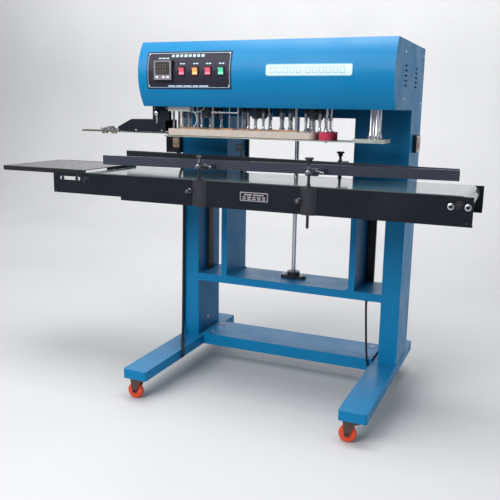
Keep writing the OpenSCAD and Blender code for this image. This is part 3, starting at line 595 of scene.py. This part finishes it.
def make_controller():
    y0, y1 = CONTROLLER_Y - 0.8, CONTROLLER_Y + 0.4
    x0, x1 = CONTROLLER_X[0] + 1, CONTROLLER_X[1] - 1
    z0, z1 = CONTROLLER_Z[0] + 1, CONTROLLER_Z[1] - 1
    frame_piece = Shape()
    key_gaps = [x0 + 8, *(x + side * 6.6 for x in KEY_XS for side in (-1, 1)), x1 - 8]
    for low, high in (((x0, z1 - 6), (x1, z1)), ((x0, z0), (x1, z0 + 6)), ((x0, z0 + 6), (x0 + 8, z1 - 6)),
                      ((x1 - 8, z0 + 6), (x1, z1 - 6)), ((x0 + 8, 1255), (x1 - 8, 1259))):
        frame_piece.box((low[0], y0, low[1]), (high[0], y1, high[1]))
    for a, b in ((key_gaps[2], key_gaps[3]), (key_gaps[4], key_gaps[5])):
        frame_piece.box((a, y0, z0 + 6), (b, y1, 1255))
    frame_piece.done("controller_bezel", "frame", [BEZEL], 0.3, "black_plastic")
    window = Shape()
    window.box((x0 + 8, y1 - 0.6, 1259), (x1 - 8, y1 + 0.2, z1 - 6))
    window.done("controller_window", "frame", [WINDOW], 0, "black_plastic")
    digits = Shape()
    for row, size in ((1284, 11), (1267, 8)):
        for k in range(4):
            x = x0 + 15 + k * 10
            for dz in (0, size / 2, size):
                digits.box((x, y1 - 0.75, row + dz), (x + 6, y1 - 0.5, row + dz + 1))
    digits.done("controller_segments", "frame", [SEGMENT], 0, "black_plastic")
    led = Shape()
    led.turned((x1 - 4, y0 + 0.2, 1290), (0, -1, 0), [(0, 1.6), (0.6, 1.4), (1.0, 0.7)], 16)
    led.done("controller_led", "frame", [LED], 0, "green_lens")


def make_cover_screws():
    """Pan-head screws round the covers, and the hinge side's rivets at the back."""
    shape = Shape()
    for x in (-455, -155, 155, 455):
        for z in (1160, 1364):
            shape.cap_screw((x, 210, z), (0, 1, 0), 5)
    for x in (-470, -160, 160, 470):
        for y in (52, 68):
            shape.cap_screw((x, y, 1379.4), (0, 0, 1), 4.5)
    for side in (-1, 1):
        for y, z in ((-180, 1340), (-180, 1182), (180, 1350), (180, 1170)):
            shape.cap_screw((side * 485, y, z), (side, 0, 0), 4.5)
    shape.turned((485, 26, 947), (1, 0, 0), [(0, 5), (2, 5), (2.8, 3.6)], 20)
    shape.done("cover_screws", "frame", [ZINC], 0, "steel")
    seam = Shape()
    seam.box((-481, 59.6, 1379.2), (481, 60.9, 1380.15))
    seam.done("cover_seam", "frame", [SHADOW], 0, "black_paint")


# ---------- Sealing unit under the head ----------

SEAL_Y = -205
HANGER_XS = (-366, -340, -109, 47, 81)
BRIDGES = ((-269, -222), (-74, -13), (153, 205))
END_ROD_XS = (388, 408)
HEAD_Z = 1144
PRESS_X = 227
PRESS_R = 26


def spring(shape, x, y, low, high, radius, wire=1.2, pitch=4.2):
    """A coil spring that stands along Z."""
    turns = (high - low) / pitch
    count = int(turns * 12)
    points = []
    for k in range(count + 1):
        angle = 2 * math.pi * turns * k / count
        points.append((x + radius * math.cos(angle), y + radius * math.sin(angle), low + (high - low) * k / count))
    shape.tube(points, wire, 6)


def make_hanger_details():
    collars, springs, cups = Shape(), Shape(), Shape()
    for side in (-1, 1):
        y = SEAL_Y + side * 8.5
        for x in HANGER_XS:
            collars.turned((x, y, 1065.2), (0, 0, 1), [(0, 8), (5, 8), (6, 7), (6, 5.6), (11, 5.6), (12, 4.7)])
            cups.turned((x, y, 1128), (0, 0, 1), [(0, 6.6), (2, 8), (14, 8), (15.8, 8)], 24)
            spring(springs, x, y, 1098, 1127, 6.0)
        y = SEAL_Y + side * 37
        for low, high in BRIDGES:
            middle = (low + high) / 2
            cups.turned((middle, y, 1103), (0, 0, 1), [(0, 9), (2, 13), (6, 15.2), (22, 15.2), (24, 12), (40.8, 12)])
            cups.box((low - 5.4, y - 7.4, 1126), (high + 5.4, y + 7.4, 1132.4), 2)
            for x in (low, high):
                cups.turned((x, y, 1132), (0, 0, 1), [(0, 8), (8, 8), (11.8, 7)], 6)
                collars.turned((x, y, 1063), (0, 0, 1), [(0, 7.2), (5, 7.2), (5.6, 5.2), (12, 5.2), (13, 4.6)])
                spring(springs, x, y, 1096, 1125, 6.2)
    collars.done("hanger_collars", "frame", [CHROME], 0.2, "chrome_steel")
    cups.done("spring_cups", "frame", [GREASED], 0.4, "black_paint")
    springs.done("hanger_springs", "frame", [STEEL], 0, "steel")


def make_front_hardware():
    """Bracket, rods and wire in front of the front band, and the nut that tensions it."""
    y = SEAL_Y - 44
    chrome = Shape()
    chrome.box((-222, y - 5, 1121), (-109, y + 5, 1128), 1.5, "x")
    for x in (-218, -113):
        chrome.turned((x, y, 1066), (0, 0, 1), [(0, 5), (3, 5), (3.4, 3.2), (56, 3.2)], 16)
        chrome.turned((x, y, 1127), (0, 0, 1), [(0, 5.4), (4, 5.4), (4.6, 3.4), (17, 3.4)], 6)
    for x in (-45, -148, 12, 120):
        chrome.turned((x, y, 1066), (0, 0, 1), [(0, 5), (2.5, 5), (3, 2.2), (77.8, 2.2)], 16)
    for x in (-290, 112):
        chrome.turned((x, SEAL_Y - 30, 1065), (0, 0, 1), [(0, 4), (40, 4), (41, 6), (49, 6), (50, 4), (78.8, 4)], 20)
    chrome.done("tension_bracket", "frame", [CHROME], 0.2, "chrome_steel")
    wire = Shape()
    route = [(-306, y, 1143.6), (-300, y - 1, 1128), (-288, y - 3, 1112), (-285, y - 3, 1094), (-292, y, 1078),
             (-304, y + 6, 1067)]
    wire.tube(smooth_route(route, 6), 1.6, 8)
    route = [(-330, y, 1143.6), (-322, y - 2, 1132), (-300, y - 4, 1124), (-270, y - 4, 1128), (-250, y, 1143.6)]
    wire.tube(smooth_route(route, 6), 1.6, 8)
    wire.done("heater_wires", "frame", [WIRE], 0, "cable_sheath")
    nut = Shape()
    nut.turned((158, y + 5, 1062), (0, 0, 1), [(0, 12), (1, 13), (5, 13), (6, 11.5), (9, 9), (12, 9), (13, 8)])
    for k in range(14):
        angle = 2 * math.pi * k / 14
        nut.turned((158 + 12.6 * math.cos(angle), y + 5 + 12.6 * math.sin(angle), 1063), (0, 0, 1),
                   [(0, 1.3), (4, 1.3)], 8)
    nut.slot = 1
    nut.turned((158, y + 5, 1074), (0, 0, 1), [(0, 6), (1.6, 6), (2.2, 4.6)], 6)
    nut.done("tension_nut", "frame", [CHROME, GREASED], 0.2, "chrome_steel")


def make_end_rods():
    rods, screws = Shape(), Shape()
    for x in END_ROD_XS:
        for side in (-1, 1):
            y = SEAL_Y + side * 24
            profile = [(0, 11), (2, 11), (4, 9.4), (12, 9.4), (15, 7.6), (22, 6.4), (24, 5.4), (101, 5.4)]
            rods.turned((x, y, 1042.8), (0, 0, 1), profile, 48)
            if side < 0:
                screws.turned((x, y - 9, 1051), (0, -1, 0), [(0, 3.4), (1.2, 3.4), (1.3, 2), (0.4, 1.8)], 16)
    rods.done("end_rod_collars", "frame", [END_CHROME], 0.3, "chrome_steel")
    screws.done("end_rod_screws", "frame", [GREASED], 0, "black_paint")


def make_press_wheels():
    for name, side in (("front", -1), ("rear", 1)):
        y = SEAL_Y + side * (PRESS_R + 0.5)
        wheel = Shape()
        outline = []
        for k in range(192):
            angle = 2 * math.pi * k / 192
            radius = PRESS_R - 1.6 * (0.5 - 0.5 * math.cos(24 * angle)) ** 3
            outline.append((radius * math.cos(angle), radius * math.sin(angle)))

        def place(u, v, z):
            return PRESS_X + u, y + v, z

        wheel.prism(outline, place, 1034, 1062)
        wheel.done("press_tyre_" + name, "press_wheel_" + name, [SILICONE], 0.4, "red_silicone",
                   ["press_wheel_" + name], 50)
        shaft = Shape()
        profile = [(0, 12), (2, 12), (3, 10), (8, 9), (9, 5), (40, 5), (41, 8.4), (50, 8.4), (51, 5), (115.8, 5)]
        shaft.turned((PRESS_X, y, 1061.8), (0, 0, 1), profile)
        shaft.hex_bolt((PRESS_X, y, 1034.2), (0, 0, -1), 12)
        shaft.done("press_shaft_" + name, "press_wheel_" + name, [CHROME], 0.3, "chrome_steel")


def make_guard_details():
    knob = Shape()
    front = SEAL_Y - 46
    knob.turned((-462, front, 1118), (0, -1, 0), [(0, 6), (3, 6), (4, 10), (6, 11), (9, 10.5), (11, 8), (12, 3)])
    knob.box((-466, front - 2.5, 1078), (-458, front + 0.5, 1110), 2, "y")
    knob.done("guard_latch", "frame", [CHROME], 0.3, "chrome_steel")
    screws = Shape()
    for x, z in ((-560, 1050), (-440, 1050), (-472, 1137), (-418, 1137)):
        screws.cap_screw((x, front, z), (0, -1, 0), 3.6)
    screws.turned((-607, SEAL_Y, 1081), (0, 0, 1), [(0, 2), (1, 2)], 12)
    screws.done("guard_screws", "frame", [ZINC], 0, "steel")
    bars = Shape()
    for side in (-1, 1):
        y0, y1 = sorted((SEAL_Y + side * 3.4, SEAL_Y + side * 20.6))
        bars.box((-841.5, y0, 1043.9), (-646, y1, 1044.5), 0)
        bars.box((-841.5, SEAL_Y + side * 21 - 0.4, 1038.2), (-650, SEAL_Y + side * 21 + 0.4, 1044.2), 0)
    bars.done("infeed_bar_tops", "frame", [BRONZE], 0, "steel")
    nuts = Shape()
    for x in (-741, -697):
        for side in (-1, 1):
            y = SEAL_Y + side * 12
            nuts.turned((x, y, 1044), (0, 0, 1), [(0, 6), (1, 6), (1.4, 4.6), (7, 4), (8, 3)], 20)
            for out in (-1, 1):
                wing = [(x + out * 3, y, 1046), (x + out * 9, y, 1050), (x + out * 14, y, 1055)]
                nuts.tube(wing, 2.0, 10)
    nuts.done("infeed_wing_nuts", "frame", [DARK_CHROME], 0.3, "steel")
    plate = Shape()
    plate.box((-404.6, -265.6, 1126.4), (-307.4, -236.4, 1143.6))
    plate.done("hanger_plate", "frame", [PALE_PLATE], 0.6, "steel")


def make_column_units():
    """Faces of the cable box and of the power inlet, and the grille in the left upright."""
    face = Shape()
    face.box((-520, -26, 972), (-489, -23.6, 1013), 3, "y")
    face.done("cable_box_lid", "frame", [BEIGE], 0.6, "black_plastic")
    bits = Shape()
    for x, z in ((-515, 977), (-494, 1008)):
        bits.cap_screw((x, -26, z), (0, -1, 0), 3.2)
    bits.turned((-505, -26, 991), (0, -1, 0), [(0, 5), (3, 5), (3.6, 3.4)], 20)
    bits.done("cable_box_screws", "frame", [ZINC], 0, "steel")
    fins = Shape()
    for x in (-550, -541, -532):
        fins.box((x, -26.5, 962), (x + 4, -23.6, 1008), 1.5, "y")
    fins.done("cable_box_fins", "frame", [PLASTIC], 0.3, "black_plastic")
    inlet = Shape()
    inlet.box((498.6, 63, 987), (500.6, 137, 1047), 4, "x")
    inlet.done("inlet_frame", "frame", [STEEL], 0.5, "steel")
    insert = Shape()
    insert.box((500.4, 74, 994), (502.4, 126, 1040), 3, "x")
    insert.slot = 1
    for y in (88, 100, 112):
        insert.box((502.0, y - 2, 1010), (502.7, y + 2, 1022))
    insert.done("inlet_insert", "frame", [BEIGE, PLASTIC], 0.4, "black_plastic")
    grille = Shape()
    for y in (88, 128):
        for z in (958, 976):
            grille.box((-272.2, y, z), (-271.2, y + 34, z + 14), 2, "x")
    grille.done("upright_grille", "frame", [PLASTIC], 0.3, "black_plastic")


# ---------- Cables ----------

LEFT_CABLE = [(-500, -9, 949.8), (-500, -9, 935), (-496, -9, 915), (-488, -9, 890), (-481, -9, 860),
              (-477, -9, 800), (-476, -9, 700), (-478, -9, 560), (-480, -9, 420), (-482, -9, 280),
              (-483, -10, 200), (-481, -15, 168), (-473, -32, 148), (-460, -58, 141.5), (-436, -104, 141.5),
              (-411, -150, 141.5), (-392, -184, 143.5), (-378, -200, 141), (-374, -206, 129),
              (-374, -207, 116), (-376, -207, 109), (-379.5, -207, 105.5), (-384.4, -207, 105.5)]
RIGHT_CABLE = [(350, 4, 388.5), (350, 3, 375), (352, 0, 340), (356, -4, 280), (360, -6, 220),
               (364, -6.5, 170), (368, -6.5, 138), (371, -6.5, 124), (375, -6.5, 115.5), (379, -6.5, 113),
               (384.4, -6.5, 113)]


def make_cables():
    left = Shape()
    left.tube(smooth_route(LEFT_CABLE, 6), 6, 16)
    left.done("left_cable", "frame", [SHEATH], 0, "cable_sheath", ["cables"])
    right = Shape()
    right.tube(smooth_route(RIGHT_CABLE, 6), 4.5, 16)
    right.done("right_cable", "frame", [SHEATH], 0, "cable_sheath")
    glands = Shape()
    glands.turned((-500, -9, 950), (0, 0, -1), [(0, 10), (8, 10), (9, 9), (14, 7.6), (16, 6.6)], 6)
    for base, axis, size in (((-385, -207, 105.5), (-1, 0, 0), 9.5), ((385, -6.5, 113), (-1, 0, 0), 7.5),
                             ((350, 4, 389), (0, 0, -1), 7.5)):
        glands.turned(base, axis, [(0, size), (2, size), (2.6, size * 0.75), (5, size * 0.7)], 24)
    glands.done("cable_glands", "frame", [PLASTIC], 0.3, "black_plastic")


# ---------- Conveyor ----------

FRONT_Y = -392
BACK_Y = -20
CONV_TOP = 880
TABLE_LEFT = -1125


def make_table():
    """Infeed table: a bright sheet whose edges are dressed with a dark rim."""
    right, top = -710, CONV_TOP + 12
    sheet = Shape()
    sheet.box((TABLE_LEFT + 5, FRONT_Y + 5, top - 2), (right - 5, BACK_Y - 5, top), 1)
    sheet.done("table_sheet", "conveyor", [TABLE], 0.3, "table_sheet", ["infeed_table"])
    rim = Shape()
    for low, high in (((TABLE_LEFT, FRONT_Y, 874), (-867, FRONT_Y + 5.2, top + 0.2)),
                      ((-867, FRONT_Y, CONV_TOP), (right, FRONT_Y + 5.2, top + 0.2)),
                      ((TABLE_LEFT, BACK_Y - 5.2, 874), (-867, BACK_Y, top + 0.2)),
                      ((-867, BACK_Y - 5.2, CONV_TOP), (right, BACK_Y, top + 0.2)),
                      ((TABLE_LEFT, FRONT_Y + 5.2, 874), (TABLE_LEFT + 5.2, BACK_Y - 5.2, top + 0.2)),
                      ((right - 6, FRONT_Y + 5.2, top - 2), (right, BACK_Y - 5.2, top + 0.2))):
        rim.box(low, high)
    rim.done("table_rim", "conveyor", [RIM], 0.7, "black_paint")
    screws = Shape()
    for x in (-850, -730):
        for y in (FRONT_Y + 16, BACK_Y - 16):
            screws.cap_screw((x, y, top - 0.4), (0, 0, 1), 4)
    screws.done("table_screws", "conveyor", [ZINC], 0, "steel")


def make_panel_hardware():
    """Bolts, screws and data tag on the conveyor's side panels."""
    bright, dark = Shape(), Shape()
    for x, z in ((696, 847), (749, 847)):
        bright.turned((x, FRONT_Y, z), (0, -1, 0), [(0, 11), (1.6, 11), (2, 10.4)])
        dark.turned((x, FRONT_Y - 2, z), (0, -1, 0), [(0, 6), (5, 6), (5.6, 5), (5.7, 3), (2.4, 2.8)], 24)
    for x, z, size in ((748, 795, 4), (-853, 870, 4), (-853, 806, 4), (-748, 870, 4)):
        dark.cap_screw((x, FRONT_Y, z), (0, -1, 0), size)
    for x in (723, -707):
        for side, y in ((-1, FRONT_Y), (1, BACK_Y)):
            dark.hex_bolt((x, y, 851), (0, side, 0), 16)
    for x in (-620, -310, 0, 310, 640):
        dark.cap_screw((x, BACK_Y, 851), (0, 1, 0), 6)
    for x, z in ((696, 847), (749, 847), (-853, 870)):
        bright.cap_screw((x, BACK_Y, z), (0, 1, 0), 5)
    bright.done("panel_bolts_bright", "conveyor", [ZINC], 0.2, "steel")
    dark.done("panel_bolts_dark", "conveyor", [GREASED], 0.3, "black_paint")
    slot = Shape()
    for x in (-819, -751):
        slot.hex_bolt((x, FRONT_Y - 0.2, 857), (0, -1, 0), 8)
    slot.done("slot_bolts", "conveyor", [GREASED], 0.3, "black_paint")
    tag = Shape()
    tag.box((-37, FRONT_Y - 0.8, 817), (71, FRONT_Y + 0.2, 849), 2, "y")
    tag.slot = 1
    tag.box((-34, FRONT_Y - 1.1, 820), (68, FRONT_Y - 0.6, 846), 1, "y")
    tag.slot = 0
    for z, widths in ((838, (30, 40)), (829.5, (12, 14, 12, 14, 12)), (822.5, (14, 12, 14, 12, 12))):
        x = 17 - (sum(widths) + 6 * (len(widths) - 1)) / 2
        for width in widths:
            tag.box((x, FRONT_Y - 1.4, z), (x + width, FRONT_Y - 1.0, z + 4))
            x += width + 6
    tag.done("data_tag", "conveyor", [TAG, PANEL], 0, "panel_face")


CLAMP_Z = 933
ROD_YS = {"front": -399, "rear": -13}


def make_clamps():
    """Tee levers, clamp screws and collars on the rail rods."""
    lever, dark = Shape(), Shape()
    for x in (-200, 222):
        for name, out in (("front", -1), ("rear", 1)):
            y = ROD_YS[name]
            dark.turned((x, y, 880), (0, 0, 1), [(0, 9), (3, 9), (4, 7), (12, 7), (13, 5.2)], 24)
            lever.turned((x, y, 945.2), (0, 0, 1), [(0, 8), (2, 8), (3, 6.4), (9, 6.4), (10, 5.3)], 20)
            lever.turned((x, y + out * 9.5, CLAMP_Z), (0, out, 0), [(0, 8), (3, 8), (4, 6), (9, 6), (10, 4.5)], 20)
            if name == "front":
                lever.turned((x + 30, y + 9, CLAMP_Z + 5), (0, -1, 0), [(0, 5), (21, 5), (22, 4)], 6)
                lever.tube([(x + 30, y - 10, CLAMP_Z + 5), (x + 40, y - 14, CLAMP_Z + 4), (x + 52, y - 16, CLAMP_Z + 1)],
                           2.4, 12)
                lever.turned((x + 50, y - 16, CLAMP_Z + 1.6), (12, -2, -3), ball(5.5), 20)
                lever.tube([(x - 9, y - 15, CLAMP_Z - 2), (x, y - 17, CLAMP_Z), (x + 9, y - 15, CLAMP_Z + 2)], 2.4, 12)
            if x < 0:
                lever.turned((x, y, 955), (0, 0, 1), [(0, 5.4), (14, 5.4), (15, 6.4), (18, 6.4), (19, 4)], 20)
                lever.tube([(x - 10, y, 967), (x, y, 968.4), (x + 10, y, 967)], 2.2, 10)
    lever.done("clamp_levers", "conveyor", [DARK_CHROME], 0.2, "chrome_steel")
    dark.done("rod_collars", "conveyor", [GREASED], 0.3, "black_paint")


def ball(radius):
    """Profile of a ball that starts where its stem ends."""
    return [(radius - radius * math.cos(math.radians(a)), radius * math.sin(math.radians(a)))
            for a in range(10, 180, 17)]


def make_rail_details():
    """Guide rails' caps and the near-black liner strip inside each rail, darkened as painted shade of the rear rail's
    inner face.
    """
    for name, ends, inward in (("front", ((-652, -345), (700, -250)), 1), ("rear", ((-742, -40), (690, -190)), -1)):
        along = Vector((ends[1][0] - ends[0][0], ends[1][1] - ends[0][1], 0))
        length = along.length
        along.normalize()
        across = Vector((-along.y, along.x, 0)) * inward

        def place(u, v, z):
            point = Vector((ends[0][0], ends[0][1], 0)) + along * u + across * v
            return point.x, point.y, z

        # The liner's near-black colour is partly its own and partly painted shade of the rear rail's inner face.
        strip = Shape()
        strip.prism([(4, 5.9), (length - 4, 5.9), (length - 4, 6.6), (4, 6.6)], place, 921, 945)
        strip.done("shaded_liner_" + name, name + "_rail", [SHADED_RAIL_LINER], 0, "rail_black")
        caps = Shape()
        for low, high in ((-0.6, 1.4), (length - 1.4, length + 0.6)):
            caps.prism([(low, -6.3), (high, -6.3), (high, 6.3), (low, 6.3)], place, 914.7, 951.3)
        caps.done("rail_caps_" + name, name + "_rail", [RIM], 0.5, "black_plastic")


def make_rod_knobs():
    """Mushroom knobs on top of the two right-hand rail rods."""
    profile = [(0, 8.4), (1, 9), (6, 9), (9, 9.6), (11, 11.4), (12.5, 14.2), (14, 15), (17, 15), (18.6, 13.4),
               (19.2, 9), (19.3, 0)]
    for name in ("front", "rear"):
        knob = Shape()
        knob.turned((222, ROD_YS[name], 963.4), (0, 0, 1), profile)
        for k in range(12):
            angle = 2 * math.pi * k / 12
            knob.turned((222 + 14.6 * math.cos(angle), ROD_YS[name] + 14.6 * math.sin(angle), 977.2), (0, 0, 1),
                        [(0, 1.2), (3.6, 1.2)], 8)
        node = name + "_rod_knob"
        knob.done("mushroom_" + name, node, [PLASTIC], 0.3, "black_plastic", [node])


def make_panel_knobs():
    """Wing knob and star knob on the front panel, each with its screw's bright end."""
    for node, x, z, lobes, reach in (("front_left_knob", -243, 839, 2, 13.4), ("front_right_knob", 186, 832, 5, 13.6)):
        knob = Shape()
        outline = []
        for k in range(96):
            angle = 2 * math.pi * k / 96
            wave = 0.5 + 0.5 * math.cos(lobes * (angle - math.radians(20)))
            radius = 8.2 + (reach - 8.2) * wave ** (1.2 if lobes > 2 else 2.6)
            outline.append((x + radius * math.cos(angle), z + radius * math.sin(angle)))

        def place(u, v, depth):
            return u, FRONT_Y - depth, v

        knob.prism(outline, place, 13, 20.4)
        knob.turned((x, FRONT_Y, z), (0, -1, 0), [(1.6, 7), (4, 7), (5, 6), (12, 6.4), (13.4, 7.4)], 28)
        knob.done(node + "_body", node, [PLASTIC], 1.2, "black_plastic", [node])
        bright = Shape()
        bright.turned((x, FRONT_Y, z), (0, -1, 0), [(0, 9.4), (1.4, 9.4), (1.7, 8.8)], 28)
        bright.turned((x, FRONT_Y - 20, z), (0, -1, 0), [(0, 5.4), (1.4, 5.4), (1.8, 4.4), (1.8, 2.4), (0.6, 2.2)], 24)
        bright.done(node + "_screw", node, [DARK_CHROME], 0.2, "steel")


def make_roller_ends():
    """Bright nuts on the roller axles' ends."""
    for node, x in (("drive_roller", 723), ("tail_roller", -707)):
        ends = Shape()
        for side, y in ((-1, -378), (1, -34)):
            ends.turned((x, y, 851), (0, side, 0), [(0, 26), (0.6, 26), (0.7, 20), (0.3, 19.4), (0.3, 12), (1.2, 11)], 40)
        ends.done(node + "_faces", node, [ZINC], 0, "steel")


def make_casters():
    for corner in CORNERS:
        low, high = near("caster_wheel_" + corner)
        x, z = (low[0] + high[0]) / 2, (low[2] + high[2]) / 2
        y = (low[1] + high[1]) / 2
        wheel = Shape()
        half = [(-11, 22.5), (-11, 25), (-10.6, 28.4), (-8.4, 30.9), (-5, 31.8), (0, 32)]
        tyre = half + [(-d, r) for d, r in reversed(half[:-1])]
        wheel.turned((x, y, z), (0, 1, 0), tyre, 48)
        wheel.slot = 1
        web = [(-13, 6), (-13, 9), (-11.6, 10), (-8, 11), (-5.4, 13), (-4.6, 19), (-6, 21.6), (-10.9, 22.6)]
        web += [(10.9, 22.6), (6, 21.6), (4.6, 19), (5.4, 13), (8, 11), (11.6, 10), (13, 9), (13, 6)]
        wheel.turned((x, y, z), (0, 1, 0), web, 48)
        for k in range(6):
            angle = 2 * math.pi * k / 6
            wheel.turned((x + 16 * math.cos(angle), y, z + 16 * math.sin(angle)), (0, 1, 0),
                         [(-8.4, 2.2), (-7.6, 3.2), (7.6, 3.2), (8.4, 2.2)], 12)
        wheel.done("caster_tyre_" + corner, "caster_wheel_" + corner, [TYRE, HUB], 0.3, "orange_tyre",
                   ["caster_wheel_" + corner])
        fork = Shape()
        for side in (-1, 1):
            fork.hex_bolt((x, y + side * 16.6, z), (0, side, 0), 9)
        fork.turned((x + 24, y, 73), (0, 0, 1), [(0, 15), (1, 19.4), (5, 22), (9, 22), (12, 20.4), (13, 17)], 36)
        for px, py in ((-14, -13), (-14, 13), (44, -13), (44, 13)):
            fork.hex_bolt((x + px, y + py, 81), (0, 0, -1), 6, False)
        fork.done("caster_race_" + corner, "caster_fork_" + corner, [FORK], 0.3, "chrome_steel")


def make_frame_details():
    """Foot caps and the bearing screws."""
    caps = Shape()
    for side in (-1, 1):
        for y, out in ((-490, -1), (337, 1)):
            x0, x1 = sorted((side * 387, side * 485))
            y0, y1 = sorted((y - out * 0.2, y + out * 1.2))
            caps.box((x0 + 1.5, y0, 96.5), (x1 - 1.5, y1, 132.5), 3, "y")
    caps.done("foot_caps", "frame", [BLUE], 0.6, "blue_paint")
    bolts = Shape()
    for x in (-14, 14):
        for y in (91, 119):
            bolts.cap_screw((x, y, 434), (0, 0, 1), 3)
    bolts.done("bearing_screws", "frame", [ZINC], 0, "steel")


def make_details():
    make_panel()
    make_badge()
    make_controller()
    make_cover_screws()
    make_hanger_details()
    make_front_hardware()
    make_end_rods()
    make_press_wheels()
    make_guard_details()
    make_column_units()
    make_cables()
    make_table()
    make_panel_hardware()
    make_clamps()
    make_rail_details()
    make_rod_knobs()
    make_panel_knobs()
    make_roller_ends()
    make_casters()
    make_frame_details()


# ---------- Stage ----------

FLOOR_HALF = 6.0
WALL_Y = 4.5
COVE = 1.5
WALL_H = 6.0


def make_floor():
    """A pale floor that curves up into a wall far behind the machine."""
    section = [(-FLOOR_HALF, 0.0), (WALL_Y - COVE, 0.0)]
    for k in range(1, 13):
        angle = math.radians(90 * k / 12)
        section.append((WALL_Y - COVE + COVE * math.sin(angle), COVE * (1 - math.cos(angle))))
    section.append((WALL_Y, WALL_H))
    shape = Shape()
    rows = [[(x, y, z) for y, z in section] for x in (-FLOOR_HALF, FLOOR_HALF)]
    shape.grid(rows, closed_cols=False)
    mesh = bpy.data.meshes.new("floor")
    for made in shape.bm.faces:
        made.smooth = True
    shape.bm.to_mesh(mesh)
    look = Look("pale_floor", (0.56, 0.56, 0.565), 0.8)
    look.tint(look.noise(1.2, 3), (0.53, 0.53, 0.54), 0.4, 0.8)
    mesh.materials.append(look.mat)
    floor = bpy.data.objects.new("floor", mesh)
    bpy.context.scene.collection.objects.link(floor)


def area_light(name, place, target, size, power, color=(1, 1, 1)):
    data = bpy.data.lights.new(name, "AREA")
    data.shape = "RECTANGLE"
    data.size, data.size_y = size
    data.energy = power
    data.color = color
    light = bpy.data.objects.new(name, data)
    light.location = place
    light.rotation_euler = (Vector(target) - Vector(place)).to_track_quat("-Z", "Y").to_euler()
    bpy.context.scene.collection.objects.link(light)


def make_lights():
    world = bpy.data.worlds.new("studio")
    world.use_nodes = True
    sky = world.node_tree.nodes["Background"]
    sky.inputs["Color"].default_value = (0.90, 0.94, 1.0, 1)
    sky.inputs["Strength"].default_value = 0.34
    scene = bpy.context.scene
    scene.world = world
    scene.view_settings.view_transform = "Standard"
    area_light("key", (-0.9, -2.9, 2.6), (0, 0, 1.1), (2.4, 1.8), 108)
    area_light("top", (0.2, -0.6, 3.8), (0.1, 0.2, 0), (2.6, 2.0), 115)
    area_light("side", (4.2, 0.18, 1.5), (0.4, 0.18, 1.0), (0.3, 2.2), 20)
    area_light("backdrop", (-1.8, 2.2, 3.6), (-1.8, 4.4, 1.4), (7.0, 1.2), 150)


# ---------- Camera ----------

CAMERA_PLACE = (950, -2605, 1147)
CAMERA_AZIMUTH = 23.12
CAMERA_DOWN = 11.92
CAMERA_ROLL = 0.89
LENS_MM = 48.79


def make_camera():
    data = bpy.data.cameras.new("camera")
    data.lens = LENS_MM
    data.sensor_width = 36.0
    turn, down, roll = (math.radians(a) for a in (CAMERA_AZIMUTH, CAMERA_DOWN, CAMERA_ROLL))
    ahead = Vector((-math.sin(turn) * math.cos(down), math.cos(turn) * math.cos(down), -math.sin(down)))
    right = Vector((math.cos(turn), math.sin(turn), 0))
    up = right.cross(ahead)
    level = Matrix((right, up, -ahead)).transposed().to_4x4()
    camera = bpy.data.objects.new("camera", data)
    camera.matrix_world = Matrix.Translation(AXES + Vector(CAMERA_PLACE) * MM) @ level @ Matrix.Rotation(roll, 4, "Z")
    bpy.context.scene.collection.objects.link(camera)
    bpy.context.scene.camera = camera


make_camera()
make_floor()
make_lights()
dress_cad()
make_details()
